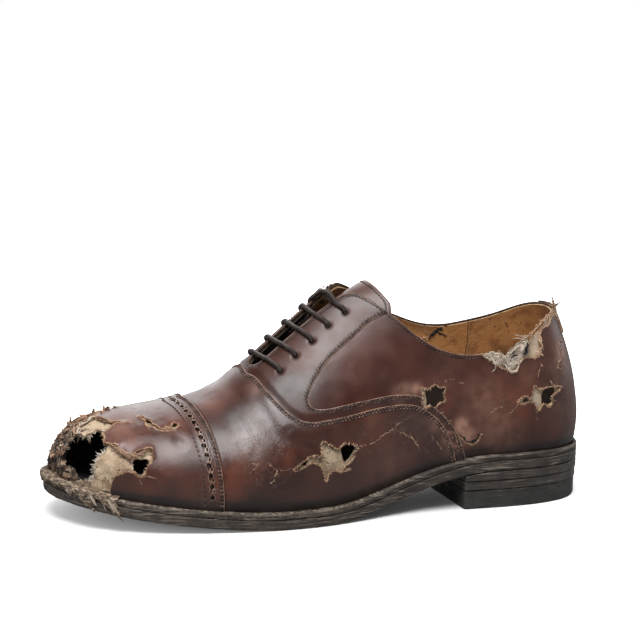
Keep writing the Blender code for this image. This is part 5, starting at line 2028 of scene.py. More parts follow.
    def insole(self) -> bpy.types.Object:
        """Insole, slightly dished, with the foot's stain on it and painted shade where the upper covers it.
        """
        turns = self.turns()[::2]
        low = self.outsole_thick + self.gap
        rings = [self.ring(turns, -3.5, low + 0.1, spine) for spine in (1.0, 0.5, 0.0)]
        for out, spine in ((-2.0, 0.0), (-2.2, 0.08), (-2.2, 0.2), (-2.2, 0.4), (-2.2, 0.6), (-2.2, 0.8),
                           (-2.2, 1.0)):
            ring = self.ring(turns, out, low + 4.3, spine)
            ring[:, 2] += 0.5 * (1.0 - spine) ** 2 + 0.35 * Noise(161).layered(ring, 16.0, 3)
            rings.append(ring)
        points, faces = joined(*loft(rings))
        # Painted shade: the insole goes very dark where the upper covers it.
        covered = 1.3 * ramp(points[:, 0], 96.0, 116.0)
        return make_piece("insole", points, faces, [self.sock], marks={"soil_and_shade": covered},
                          crease=60, replaces=("insole",))

    def build(self) -> None:
        """Build the sole."""
        self.outsole()
        self.welt()
        self.heel()
        self.insole()


# ---------------------------------------------------------------- tongue and laces

@dataclass
class Tongue:
    """Tongue under the facings, arched and cut square at its top."""

    thick: float = 1.9
    top_x: float = 124.0            # its top edge on the centre line
    top_z: float = 123.3
    line: tuple = (-0.742, 0.671)   # direction of the instep, up and back
    corner: float = 6.5             # how much lower the top edge is at its sides
    length: float = 95.0            # from its top edge to its foot, about
    half_width: float = 22.0
    stitch_inset: float = 3.0       # from its edge to its stitches
    rows_down: int = 90             # how many rows of corners it has
    # turn, climb of the side edge, depth under the last
    rows: tuple = ((4.50, 0.62, 4.0), (4.80, 0.63, 4.6), (5.20, 0.64, 5.2), (5.80, 0.66, 5.2),
                   (6.40, 0.69, 5.2), (7.14, 0.745, 5.2), (7.30, 0.763, 4.3), (7.50, 0.78, 2.5),
                   (8.00, 0.82, 2.5))

    def grid(self) -> Array:
        """Rows of places across the tongue from its top edge down to the vamp."""
        turn_at, edge_at, depth_at = np.array(self.rows).T
        across = 41
        rows = []
        for turn in np.linspace(turn_at[0], turn_at[-1], 221):
            sink = -np.interp(turn, turn_at, depth_at)
            climbs = np.linspace(np.interp(turn, turn_at, edge_at), 1.0, across // 2 + 1)
            outer = LAST.surface(turn, climbs, sink)
            inner = LAST.surface(TURNS - turn, climbs[::-1], sink)
            rows.append(np.concatenate([outer[:-1], [(outer[-1] + inner[0]) / 2], inner[1:]]))
        sheet = np.array(rows)
        for _ in range(30):
            sheet[:, 1:-1] = 0.5 * sheet[:, 1:-1] + 0.25 * (sheet[:, 2:] + sheet[:, :-2])
        share = np.linspace(-1.0, 1.0, across)
        above = (sheet[..., 0] - self.top_x) * self.line[0] + (sheet[..., 2] - self.top_z) * self.line[1]
        above = above + self.corner * np.abs(share) ** 2.7
        columns = []
        for k in range(across):
            start = np.argmax(above[:, k] < 0)
            run = sheet[start:, k]
            if start > 0:
                t = above[start - 1, k] / (above[start - 1, k] - above[start, k])
                run = np.concatenate([[sheet[start - 1, k] * (1 - t) + sheet[start, k] * t], run])
            columns.append(at_rows(run, np.linspace(0, len(run) - 1, self.rows_down)))
        return np.array(columns).transpose(1, 0, 2)

    def build(self) -> tuple[Array, Array]:
        """Build the tongue with a soft wave, and return places and directions along its stitched edge."""
        leather = PolishedLeather("tongue_leather", deep=(0.070, 0.030, 0.024), brown=(0.105, 0.048, 0.037),
                                  roughness=0.36, coat=0.44, seam_rows=(self.stitch_inset,)).make()
        raw = RawLeather("tongue_edge").make()
        sheet = self.grid()
        rows, columns = sheet.shape[:2]
        down = np.gradient(sheet, axis=0)
        side = np.gradient(sheet, axis=1)
        normal = unit(np.cross(side, down))
        normal *= np.sign(normal[..., 2:].mean())
        from_top = np.linspace(0.0, 1.0, rows)[:, None] * self.length
        share = np.abs(np.linspace(-1.0, 1.0, columns))[None]
        edge = np.minimum(from_top, (1.0 - share) * self.half_width)
        swell = 0.5 * Noise(171).layered(sheet, 14.0, 2) - 0.4 * (1.0 - ramp(edge, 0.0, 1.0))
        face = sheet + normal * swell[..., None]
        back = face - normal * self.thick
        index = np.arange(rows * columns).reshape(rows, columns)
        faces = quads(index[:-1, :-1], index[1:, :-1], index[1:, 1:], index[:-1, 1:])
        first = face.reshape(-1, 3)
        across = np.cross(first[faces[0, 1]] - first[faces[0, 0]], first[faces[0, 2]] - first[faces[0, 0]])
        if across @ normal.reshape(-1, 3)[faces[0, 0]] < 0:
            faces = faces[:, ::-1]
        count = rows * columns
        faces, layers, _ = shell(faces, count)
        marks = {"seam": np.tile(edge.ravel(), 2)}
        for label, value in (("hem", SEAM_REACH), ("dark", 0.0), ("warm", 0.0), ("scuff", 0.15),
                             ("flex", 0.25), ("bloom_and_sheen", 0.0)):
            marks[label] = np.full(2 * count, value)
        make_piece("tongue", np.concatenate([first, back.reshape(-1, 3)]), faces, [leather, raw, raw],
                   layers, marks, replaces=("tongue",))
        near = round(self.stitch_inset / self.half_width * columns / 2)
        low = round(self.stitch_inset / self.length * rows)
        rim_rows = [(k, near) for k in range(40, low, -1)] + [(low, k) for k in range(near, columns - near)]
        rim_rows += [(k, columns - 1 - near) for k in range(low, 41)]
        at = tuple(np.array(rim_rows).T)
        path = face[at]
        rows_at = evenly(path, 0.5)
        return at_rows(path, rows_at), at_rows(normal[at], rows_at)


@dataclass
class Laces:
    """Waxed round lace in five slanting bars through the eyelets, with no bow."""

    radius: float = 1.28
    lift: float = 2.05
    depth: float = 3.7
    outer_edge: float = 0.865
    inner_edge: float = 0.985
    sides: int = 12
    per_span: int = 9               # steps of the cord from one point of its route to the next
    # turn, climb and height over the last of the strand that crosses back over the top bar
    strand: tuple = ((5.54, 0.822, 2.3), (5.555, 0.855, 3.5), (5.60, 0.91, 4.1), (5.67, 0.962, 3.6),
                     (5.76, 0.995, 2.7), (18.14, 0.965, 1.6), (18.12, 0.93, -0.6), (18.12, 0.92, -2.6))

    def half(self, place: tuple[float, float], edge: float, drift: float) -> list[Array]:
        """Points from under an eyelet up to the edge of its facing.

        Args:
            place: the eyelet's (turn, climb).
            edge: climb at the facing's edge.
            drift: how far the bar turns aside on the way.

        Returns:
            The points.
        """
        turn, climb = place
        low = [LAST.surface(turn, climb, -self.depth), LAST.surface(turn, climb, -0.9),
               LAST.surface(turn, climb + 0.006, 0.9),
               LAST.surface(turn + 0.1 * drift, climb + min(0.024, 0.3 * (edge - climb)), self.lift - 0.1)]
        return low + [LAST.surface(turn + drift * share, climb + (edge - climb) * share, self.lift)
                      for share in (0.4, 0.7, 1.0)]

    def route(self) -> Array:
        """Points of the whole lace, alternately one way and the other, joined under the facings."""
        points: list[Array] = []
        for index, (near, far) in enumerate(zip(eyelets(Side.OUTER), eyelets(Side.INNER))):
            outer = self.half(near, self.outer_edge, 0.78 * INNER_EYELET_FORWARD)
            inner = self.half(far, self.inner_edge, 0.0)
            across = [outer[-1] * (1 - share) + inner[-1] * share for share in (0.33, 0.67)]
            bar = outer + across + inner[::-1]
            points += bar[::-1] if index % 2 else bar
        return np.array(points)

    def build(self) -> None:
        """Build the lace, with the strand that crosses back over its top bar."""
        cord = WaxedCord("lace").make()
        strand = np.array([LAST.surface(*place) for place in self.strand])
        points, faces, along, around, count = [], [], [], [], 0
        for line in (curve_through(self.route(), self.per_span), curve_through(strand, self.per_span)):
            rises = np.tile(np.array([0.3, 0.0, 1.0]), (len(line), 1))
            size = np.full(len(line), self.radius)
            corners, sheet = tube(line, size, size, rises, self.sides)
            run = travelled(line)
            angle = np.tile(np.arange(self.sides) * 2 * np.pi / self.sides, len(line))
            points.append(corners)
            faces.append(sheet + count)
            along.append(np.concatenate([np.repeat(run, self.sides), run[[0, -1]]]))
            around.append(np.concatenate([3 * angle, [0.0, 0.0]]))
            count += len(corners)
        make_piece("laces", np.concatenate(points), np.concatenate(faces), [cord],
                   marks={"along": np.concatenate(along), "around": np.concatenate(around)},
                   replaces=("laces",))
        log.info("lace: %.0f mm long", sum(part.max() for part in along))


# ---------------------------------------------------------------- small things laid on the upper

class Skin:
    """Outer face of the finished upper, on which small things are laid."""

    def __init__(self, pieces: Sequence[bpy.types.Object]) -> None:
        """Gather the faces of some pieces."""
        points, faces, count = [], [], 0
        for piece in pieces:
            place = np.empty(3 * len(piece.data.vertices), np.float32)
            corner = np.empty(3 * len(piece.data.polygons), np.int32)
            piece.data.vertices.foreach_get("co", place)
            piece.data.loops.foreach_get("vertex_index", corner)
            points.append(place.reshape(-1, 3) / MM + ORIGIN)
            faces.append(corner.reshape(-1, 3) + count)
            count += len(piece.data.vertices)
        self.tree = BVHTree.FromPolygons(np.concatenate(points).tolist(), np.concatenate(faces).tolist(),
                                         all_triangles=True)

    def drop(self, places: Array, outward: Array, lift: float = 6.0) -> tuple[Array, Array, Array]:
        """Lay places on the leather, straight in from outside.

        Args:
            places: places near the leather in mm.
            outward: outward directions there.
            lift: how far outside each place the search starts.

        Returns:
            The places on the leather, its directions there and whether there is leather at all.
        """
        spots, normals, found = places.copy(), outward.copy(), np.zeros(len(places), bool)
        for k, (place, out) in enumerate(zip(places, outward)):
            hit, normal, _, _ = self.tree.ray_cast(place + out * lift, -out, lift + 0.35)
            if hit is not None:
                spots[k], normals[k], found[k] = hit, normal, True
        return spots, normals, found


def beside(pairs: Array, inset: float) -> tuple[Array, Array]:
    """Places to the left of a line on the last, as seen from outside.

    Args:
        pairs: the line's (turn, climb) pairs.
        inset: how far to the left in mm, negative to the right.

    Returns:
        The places and the outward directions there.
    """
    place, outward = LAST.point(pairs[:, 0], pairs[:, 1]), LAST.normal(pairs[:, 0], pairs[:, 1])
    moved = place + unit(np.cross(outward, unit(np.gradient(place, axis=0)))) * inset
    for _ in range(6):
        moved[1:-1] = 0.5 * moved[1:-1] + 0.25 * (moved[2:] + moved[:-2])
    return moved, outward


@dataclass(frozen=True)
class Row:
    """Row of stitches beside a line."""

    line: Line
    inset: float
    pitch: float = 2.6
    length: float = 1.9
    thread: float = 0.31
    shade: float = 0.35


STITCH_ROWS = (
    Row(VAMP_SEAM, -0.85, 2.0, 1.15, 0.35, 0.50), Row(VAMP_SEAM, -2.0, 2.0, 1.15, 0.35, 0.62),
    Row(FACING_SEAM, -1.0, 2.0, 1.1, 0.35, 0.42), Row(FACING_SEAM, -2.2, 2.0, 1.2, 0.24, 0.20),
    Row(CAP_SEAM, 0.85, 2.0, 1.15, 0.33, 0.50), Row(CAP_SEAM, 2.0, 2.0, 1.15, 0.33, 0.55),
    Row(CAP_SEAM, 10.2, 2.6, 1.6, 0.38, -0.1),
)


@dataclass
class Stitching:
    """Every visible row of thread on the upper, and round the welt."""

    skin: Skin
    hem: float = 1.9
    slant: float = 0.30             # how far a stitch's ends lie to either side of its row, in mm
    welt_pitch: float = 3.3
    welt_thread_z: float = 8.42     # height of the welt's thread over the sole's underside
    welt_inset: float = 2.0         # from the welt's edge to its thread
    welt_turns: tuple = (4.2, 19.8)
    lost_turns: tuple = (10.2, 12.9)    # where most of the welt's stitches are gone
    lost_share: float = 0.75

    def sew(self, bundle: Bundle, place: Array, outward: Array, row: Row, shade: float) -> None:
        """Sew one row where there is leather.

        Args:
            bundle: where the stitches go.
            place: closely spaced places along the row.
            outward: outward directions there.
            row: sizes of the stitches.
            shade: their shade.
        """
        self.lay(bundle, place, *self.skin.drop(place, outward), row, shade)

    def lay(self, bundle: Bundle, place: Array, spots: Array, normals: Array, found: Array, row: Row,
            shade: float) -> None:
        """Lay the stitches of one row.

        Args:
            bundle: where the stitches go.
            place: closely spaced places that set the pitch.
            spots: the same places on the leather.
            normals: outward directions there.
            found: where there is leather.
            row: sizes of the stitches.
            shade: their shade.
        """
        rows = np.arange(len(spots))
        run = travelled(place)
        for start in np.arange(0.4, run[-1] - row.length, row.pitch):
            at = np.interp(start + row.length * np.array((0.0, 0.16, 0.5, 0.84, 1.0)), run, rows)
            near = found[int(at[0]):int(at[-1]) + 2]
            step = np.linalg.norm(np.diff(spots[int(at[0]):int(at[-1]) + 2], axis=0), axis=1)
            if not near.all() or step.max() > 1.1:
                continue
            path = at_rows(spots, at)
            up = unit(normals[int(at[2])])
            aside = unit(np.cross(up, path[-1] - path[0]))
            path = path + up * np.array((-0.35, 0.06, 0.16, 0.06, -0.35))[:, None]
            path = path + aside * (self.slant * np.linspace(-1.0, 1.0, 5))[:, None]
            size = row.thread * np.array((0.7, 1.0, 1.08, 1.0, 0.7))
            bundle.add(*tube(path, size, size * 0.8, up, 5), shade + 0.35 * math.sin(7.0 * start))

    def top_line(self, side: Side, inset: float) -> Array:
        """(turn, climb) pairs that lie a distance inside the top line of one side."""
        turns = np.linspace(0.0, 7.1, 420)
        climbs = np.linspace(0.35, 0.998, 260)
        grid_turn, grid_climb = (grid.ravel()
                                 for grid in np.meshgrid(side.turn(turns), climbs, indexing="ij"))
        place = LAST.point(grid_turn, grid_climb)
        room = LAST.room(place, np.full(len(place), side is Side.OUTER)).reshape(len(turns), -1)
        pairs = []
        for turn, line in zip(side.turn(turns), room):
            k = int(np.argmax(line < inset))
            if k > 0:
                share = (line[k - 1] - inset) / (line[k - 1] - line[k])
                pairs.append((turn, climbs[k - 1] + share * (climbs[k] - climbs[k - 1])))
        pairs = np.array(pairs)
        return at_rows(pairs, evenly(LAST.point(pairs[:, 0], pairs[:, 1]), 0.5))

    def welt_row(self) -> None:
        """Pale thread in the welt's channel round the forefoot."""
        bundle, rng = Bundle(), np.random.default_rng(5)
        turns = np.linspace(*self.welt_turns, 3200)
        plan = LAST.outline(turns, LAST.welt_width(turns) - self.welt_inset)
        path = np.column_stack([plan, LAST.floor_line(plan[:, 0]) + self.welt_thread_z])
        for start, stop in zip(*(evenly(path, self.welt_pitch, first)[:400] for first in (0.0, 2.5))):
            turn = turns[int(start)]
            if self.lost_turns[0] < turn < self.lost_turns[1] and rng.random() < self.lost_share:
                continue
            at = np.linspace(start, stop, 5)
            line = at_rows(path, at)
            line[:, 2] += np.array((-0.25, 0.22, 0.34, 0.22, -0.25))
            bundle.add(*tube(line, np.full(5, 0.42), np.full(5, 0.34), np.array((0.0, 0.0, 1.0)), 6),
                       rng.uniform(0.0, 1.0))
        thread = Fibre("welt_thread", (0.085, 0.065, 0.050), (0.36, 0.29, 0.21))
        bundle.make("welt_stitches", thread.make(), "stitching")

    def build(self, tongue: tuple[Array, Array]) -> None:
        """Sew the upper, the tongue and the welt.

        Args:
            tongue: places and directions along the tongue's edge.
        """
        bundle = Bundle()
        path, outward = tongue
        self.lay(bundle, path, path, outward, np.ones(len(path), bool),
                 Row(VAMP_SEAM, 0.0, 2.1, 1.4, 0.26), 0.2)
        for side in Side:
            for row in STITCH_ROWS:
                place, outward = beside(row.line.spaced(0.5, side), row.inset * side.value)
                self.sew(bundle, place, outward, row, row.shade)
            pairs = self.top_line(side, self.hem)
            place, outward = beside(pairs, 0.0)
            self.sew(bundle, place, outward, Row(VAMP_SEAM, 0.0, 1.9, 1.35, 0.22), 0.30)
        thread = Fibre("upper_thread", (0.030, 0.015, 0.011), (0.260, 0.150, 0.115), 0.7)
        bundle.make("stitches", thread.make(), "stitching")
        self.welt_row()


@dataclass(frozen=True)
class Crack:
    """Split or flaked line in the leather, through (turn, climb) points."""

    points: tuple
    width: float = 0.5
    # When dark is set, the crack has only its strip of painted shadow and no pale lip.
    dark: bool = False


CRACKS = (
    Crack(((10.12, 0.705), (10.02, 0.695), (9.94, 0.70)), 0.7), Crack(((9.04, 0.628), (8.96, 0.60)), 0.7),
    Crack(((9.60, 0.66), (9.66, 0.625), (9.62, 0.58)), 0.7), Crack(((9.84, 0.79), (9.92, 0.80)), 0.7),
    Crack(((10.14, 0.955), (10.02, 0.955), (9.90, 0.95)), 0.5, True),
    Crack(((9.42, 0.89), (9.26, 0.865)), 0.4, True), Crack(((9.88, 0.55), (9.74, 0.545)), 0.5, True),
    Crack(((9.58, 0.565), (9.56, 0.505)), 0.6, True),
    Crack(((9.46, 0.37), (9.38, 0.31), (9.28, 0.30)), 0.35, True),
    Crack(((9.56, 0.25), (9.50, 0.24), (9.44, 0.245)), 0.4),
    Crack(((9.88, 0.185), (9.7, 0.185), (9.54, 0.175)), 0.7), Crack(((9.88, 0.165), (9.82, 0.105)), 0.4),
    Crack(((7.76, 0.215), (7.66, 0.24), (7.56, 0.255), (7.6, 0.26)), 0.6),
    Crack(((7.74, 0.275), (7.54, 0.26)), 0.5),
    Crack(((7.36, 0.255), (7.26, 0.22), (7.16, 0.205), (7.26, 0.185), (7.28, 0.16), (7.38, 0.15)), 0.6),
    Crack(((7.14, 0.205), (7.0, 0.2), (6.84, 0.2)), 0.5),
    Crack(((5.44, 0.205), (5.3, 0.205), (5.16, 0.2), (5.0, 0.2), (4.86, 0.21), (4.76, 0.22), (4.6, 0.23),
           (4.44, 0.25), (4.32, 0.26)), 0.7),
    Crack(((4.6, 0.23), (4.4, 0.215), (4.26, 0.195), (4.12, 0.17), (4.0, 0.125)), 0.6),
    Crack(((4.18, 0.2), (4.12, 0.165), (4.02, 0.135), (3.94, 0.095)), 0.6),
    Crack(((3.76, 0.165), (3.64, 0.12), (3.56, 0.08)), 0.6),
    Crack(((3.54, 0.4), (3.48, 0.415), (3.36, 0.415)), 0.5), Crack(((3.3, 0.395), (3.2, 0.39)), 0.45),
    Crack(((2.8, 0.225), (2.7, 0.245), (2.56, 0.26)), 0.6),
    Crack(((2.32, 0.27), (2.4, 0.245), (2.5, 0.21)), 0.5), Crack(((2.04, 0.24), (2.02, 0.165)), 0.45),
    Crack(((1.82, 0.47), (1.88, 0.44), (1.96, 0.39)), 0.7), Crack(((1.7, 0.375), (1.64, 0.34)), 0.55),
    Crack(((0.92, 0.545), (1.08, 0.56), (1.20, 0.505), (1.24, 0.49)), 1.3),
    Crack(((1.22, 0.475), (1.42, 0.445), (1.46, 0.430), (1.32, 0.425)), 1.2),
    Crack(((1.38, 0.265), (1.34, 0.26), (1.29, 0.25)), 0.7, True),
    Crack(((1.34, 0.15), (1.32, 0.14)), 0.6, True),
    Crack(((3.28, 0.128), (3.20, 0.098), (3.10, 0.072), (3.00, 0.070), (2.94, 0.092), (2.91, 0.130)), 3.0),
    Crack(((3.12, 0.082), (3.04, 0.078), (2.98, 0.090)), 2.2, True),
    Crack(((3.62, 0.27), (3.50, 0.225), (3.40, 0.175), (3.32, 0.125), (3.27, 0.07)), 0.9),
    Crack(((3.72, 0.24), (3.58, 0.185), (3.47, 0.125), (3.42, 0.06)), 0.7),
    Crack(((3.44, 0.19), (3.38, 0.145), (3.35, 0.10)), 1.1, True),
    Crack(((14.1, 0.42), (14.4, 0.46), (14.7, 0.45)), 0.5),
    Crack(((16.2, 0.24), (16.6, 0.22), (17.0, 0.25)), 0.6),
    Crack(((20.1, 0.32), (20.4, 0.30), (20.7, 0.33)), 0.5),
    Crack(((22.2, 0.30), (22.5, 0.33), (22.7, 0.31)), 0.5),
)


@dataclass
class Wear:
    """Splits, frayed edges, threads, rags and strips of painted shadow where the shoe is worn out."""

    skin: Skin
    seed: int = 2024

    def __post_init__(self) -> None:
        """Start the bundles."""
        self.rng = np.random.default_rng(self.seed)
        self.tan = Bundle()
        self.beige = Bundle()
        # Very dark strips of painted shadow in cracks and gaps.
        self.shadow_strips = Bundle()
        self.pale = Bundle()

    def strand(self, bundle: Bundle, start: Array, heading: Array, length: float, width: float, shade: float,
               bend: float = 0.6, thin: float = 0.5, steps: int = 5, up: Array | None = None) -> None:
        """Add one loose tapering strand.

        Args:
            bundle: where it goes.
            start: where it starts, in mm.
            heading: where it points.
            length: its length in mm.
            width: its half width at the root in mm.
            shade: its shade.
            bend: how much it wanders.
            thin: its thickness as a share of its width.
            steps: how many pieces it has.
            up: direction of its thickness.
        """
        path, heading = [np.asarray(start, float)], unit(np.asarray(heading, float))
        turn = self.rng.normal(0.0, 1.0, 3)
        for _ in range(steps):
            heading = unit(heading + bend / steps * (turn + 0.6 * self.rng.normal(0.0, 1.0, 3)))
            path.append(path[-1] + heading * (length / steps))
        size = width * np.linspace(1.0, 0.0, steps + 1) ** 0.6 + 0.03
        up = self.rng.normal(0.0, 1.0, 3) if up is None else up
        bundle.add(*tube(np.array(path), size, size * thin, up, 4), shade)

    def ribbon(self, bundle: Bundle, pairs: Sequence[tuple[float, float]], lift: Array, width: float,
               shade: float, thin: float = 0.4, rough: float = 0.4, sides: int = 6) -> None:
        """Add one strip that lies along some places of the last.

        Args:
            bundle: where it goes.
            pairs: (turn, climb) points.
            lift: how far out it lies, in mm.
            width: its half width in mm.
            shade: its shade.
            thin: its thickness as a share of its width.
            rough: how uneven it is.
            sides: how many corners go round it.
        """
        at = Line(tuple(pairs)).spaced(0.6)
        outward = LAST.normal(at[:, 0], at[:, 1])
        t = np.linspace(0.0, 1.0, len(at))
        height = np.interp(t, np.linspace(0.0, 1.0, len(np.atleast_1d(lift))), np.atleast_1d(lift))
        path = LAST.surface(at[:, 0], at[:, 1], height) + rough * self.wander(len(at))
        size = width * np.clip(np.sin(np.pi * np.clip(t, 0.02, 0.98)) ** 0.45, 0.15, 1.0)
        size = size * (1.0 + 0.7 * rough * self.rng.normal(0.0, 0.5, len(at)))
        bundle.add(*tube(path, size, size * thin, outward, sides), shade)

    def either(self, share: float) -> Bundle:
        """The leather's strands for a share of the draws, and else the lining's."""
        return self.tan if self.rng.random() < share else self.beige

    def wander(self, count: int) -> Array:
        """Smooth random offsets in mm, one a place."""
        offset = self.rng.normal(0.0, 1.0, (count + 4, 3))
        for _ in range(2):
            offset = (offset[2:] + offset[1:-1] + offset[:-2]) / 2.2 if len(offset) > count + 2 else offset
        return offset[:count]

    def cracks(self) -> None:
        """Cracks with a pale lip and a dark strip of painted shadow beside it."""
        for crack in CRACKS:
            pairs = Line(crack.points).spaced(0.45)
            if len(pairs) < 4:
                continue
            place, outward = beside(pairs, 0.0)
            spots, normals, found = self.skin.drop(place, outward)
            keep = np.nonzero(found)[0]
            if len(keep) < 4:
                continue
            spots, normals = spots[keep], normals[keep]
            t = np.linspace(0.0, 1.0, len(keep))
            across = unit(np.cross(normals, unit(np.gradient(spots, axis=0))))
            rough = Noise(201).layered(spots, 1.6, 2)
            spots = spots + across * (0.55 * rough)[:, None]
            body = (np.sin(np.pi * np.clip(t, 0.03, 0.97)) ** 0.5
                    * (0.45 + 1.1 * Noise(202).layered(spots, 1.3, 2)))
            size = crack.width * 0.62 * np.clip(body, 0.05, 1.4)
            # Strip of painted shadow beside the crack.
            self.shadow_strips.add(*tube(spots + across * (0.45 * crack.width) - normals * 0.03, size * 0.8,
                                 size * 0.4 + 0.03, normals, 6), 0.2)
            if crack.dark:
                continue
            self.tan.add(*tube(spots + normals * 0.04, size, size * 0.45, normals, 6),
                         self.rng.uniform(0.05, 0.55))
            for k in self.rng.integers(1, len(spots) - 1, max(1, len(spots) // 3)):
                side = across[k] * self.rng.choice((-1.0, 1.0)) + 0.5 * unit(spots[k] - spots[k - 1])
                self.strand(self.tan, spots[k], side + 0.12 * normals[k],
                            min(crack.width, 0.9) * self.rng.uniform(0.8, 2.4),
                            0.10 + 0.12 * min(crack.width, 1.2), self.rng.uniform(0.1, 0.8), up=normals[k])

    def frayed(self, tear: Tear, bundle: Bundle, per_mm: float, length: tuple[float, float], width: float,
               out: float, window: Callable[[Array], Array] | None = None, spread: float = 0.8) -> None:
        """Fray the edge of a tear.

        Args:
            tear: the tear.
            bundle: where the strands go.
            per_mm: how many strands a millimetre.
            length: shortest and longest strand in mm.
            width: half width of a strand in mm.
            out: how far out they start, in mm.
            window: tells which (turn, climb) pairs are frayed.
            spread: how far they fan out.
        """
        pairs = Line(tear.points, closed=True).spaced(0.25)
        turn, climb = pairs.T
        area = float(np.sum(turn * np.roll(climb, -1) - np.roll(turn, -1) * climb))
        place, outward = beside(pairs, 0.0)
        along = unit(np.gradient(place, axis=0))
        inward = -np.sign(area) * np.cross(outward, along)
        choice = np.nonzero(window(pairs))[0] if window else np.arange(len(pairs))
        choice = choice[(climb[choice] > 0.0) & (climb[choice] < 0.99)]
        choice = choice[LAST.room(place[choice], turn[choice] % TURNS <= TOE_TURN) > -0.5]
        total = int(len(choice) * 0.25 * per_mm)
        for k in self.rng.choice(choice, total):
            size = self.rng.uniform(*length) * self.rng.uniform(0.4, 1.0)
            heading = (inward[k] + spread * self.rng.normal(0.0, 0.6) * along[k]
                       + 0.35 * self.rng.random() * outward[k])
            start = (place[k] - inward[k] * self.rng.uniform(0.0, 0.9)
                     + outward[k] * (out + self.rng.uniform(-0.4, 0.4)))
            self.strand(bundle, start, heading, size, width * self.rng.uniform(0.5, 1.4),
                        self.rng.uniform(0.1, 1.0), bend=0.9, thin=0.45,
                        up=outward[k] + 0.4 * self.rng.normal(0.0, 1.0, 3))

    def edges(self) -> None:
        """Fray every torn edge."""
        for tear in (VAMP_TEAR, HEEL_TEAR, QUARTER_TEAR):
            self.frayed(tear, self.tan, 1.5, (0.8, 2.4), 0.22, 0.6)
            self.frayed(tear, self.beige, 0.8, (0.8, 2.0), 0.20, -0.2)
        self.frayed(CAP_TEAR, self.tan, 2.4, (1.0, 3.2), 0.30, 0.9)
        self.frayed(CAP_SPLIT, self.tan, 2.6, (0.8, 2.2), 0.30, 1.4)
        self.frayed(TOE_HOLE, self.beige, 2.6, (1.0, 4.2), 0.26, -1.4)
        self.frayed(TOE_HOLE, self.pale, 7.0, (1.5, 4.8), 0.34, -1.3,
                    lambda pairs: (np.abs(pairs[:, 0] - 10.7) < 0.16) & (pairs[:, 1] < 0.36))
        self.frayed(SIDE_HOLE, self.beige, 1.6, (0.6, 1.6), 0.18, -1.4)
        self.frayed(COLLAR_TEAR, self.tan, 1.8, (0.8, 3.0), 0.22, 0.2, lambda pairs: pairs[:, 1] < 0.705)
        self.frayed(LINING_TEAR, self.beige, 1.4, (0.8, 2.6), 0.20, -1.2, lambda pairs: pairs[:, 1] < 0.705)

    def toe(self) -> None:
        """Rolled flap, hanging rag, torn strips and a mass of fibres at the toe."""
        for k in range(5):
            shift = 0.009 * (k - 2)
            self.ribbon(self.tan, [(turn, climb + shift * self.rng.uniform(0.4, 1.2)) for turn, climb in
                                   ((10.50, 0.425), (10.34, 0.385), (10.16, 0.345), (9.98, 0.335),
                                    (9.84, 0.36), (9.68, 0.395))],
                        (1.4, 2.0 + 0.3 * self.rng.random(), 1.8, 1.6), 0.30, 0.15 + 0.12 * k, rough=0.5)
        for k in range(5):
            self.ribbon(self.beige, [(12.62 - 0.12 * k, 0.775 - 0.01 * k), (12.2, 0.70 + 0.012 * k),
                                     (11.95, 0.61 + 0.012 * k), (12.02, 0.48 + 0.01 * k)],
                        (0.2, 0.9 + 0.2 * k, 0.4, -0.6), 0.75, self.rng.uniform(0.45, 0.95), rough=0.35)
        for _ in range(16):
            climb = self.rng.uniform(0.50, 0.62)
            start = LAST.surface(self.rng.uniform(11.2, 11.8), climb, -0.8)
            self.strand(self.beige, start, (0.15, 0.25, -1.0), self.rng.uniform(3.0, 7.5), 0.55,
                        self.rng.uniform(0.5, 1.0), bend=0.5, steps=6)
        for turn, climb, heading, length in ((12.98, 0.42, (-0.1, 0.1, 1.0), 6.0),
                                             (12.90, 0.46, (0.5, 0.1, 0.8), 3.0),
                                             (12.85, 0.70, (0.2, 0.1, 1.0), 4.5),
                                             (12.75, 0.64, (0.9, 0.2, 0.4), 3.5),
                                             (13.10, 0.78, (-0.2, 0.2, 1.0), 5.0),
                                             (13.20, 0.79, (-0.8, 0.2, 0.6), 3.5),
                                             (13.38, 0.83, (-0.5, 0.2, 0.8), 4.0),
                                             (12.60, 0.80, (0.7, 0.3, 0.7), 3.5),
                                             (12.00, 0.64, (-0.6, 0.5, 0.8), 3.0)):
            start = LAST.surface(turn, climb, 0.3)
            for _ in range(3):
                self.strand(self.tan, start + self.rng.normal(0.0, 0.5, 3), heading,
                            length * self.rng.uniform(0.7, 1.3), 1.15, self.rng.uniform(0.2, 0.9),
                            bend=0.6, steps=7)
        crown = np.array(((12.55, 0.50), (12.70, 0.60), (12.86, 0.70), (13.10, 0.78), (13.40, 0.83),
                          (13.80, 0.86)))
        for _ in range(18):
            first = self.rng.uniform(0.0, 4.0)
            steps = first + np.array((0.0, 0.5, 1.1)) * self.rng.uniform(0.6, 1.6)
            pairs = at_rows(crown, steps) + self.rng.normal(0.0, 1.0, (3, 2)) * (0.07, 0.012)
            rise = self.rng.uniform(0.0, 1.2)
            self.ribbon(self.tan, [tuple(pair) for pair in pairs],
                        (0.4, rise, 0.3 * rise + self.rng.uniform(-0.5, 1.0)),
                        self.rng.uniform(0.35, 0.95), self.rng.choice((-0.35, 0.25, 0.6, 0.95)), 0.45, 0.7)
        for _ in range(26):
            share = self.rng.random()
            along = np.array(((12.95, 0.79), (12.64, 0.77), (12.10, 0.70), (11.92, 0.57), (12.02, 0.47)))
            turn, climb = (float(np.interp(4.0 * share, np.arange(5), along[:, axis])) for axis in (0, 1))
            reach = self.rng.uniform(-0.25, 0.25)
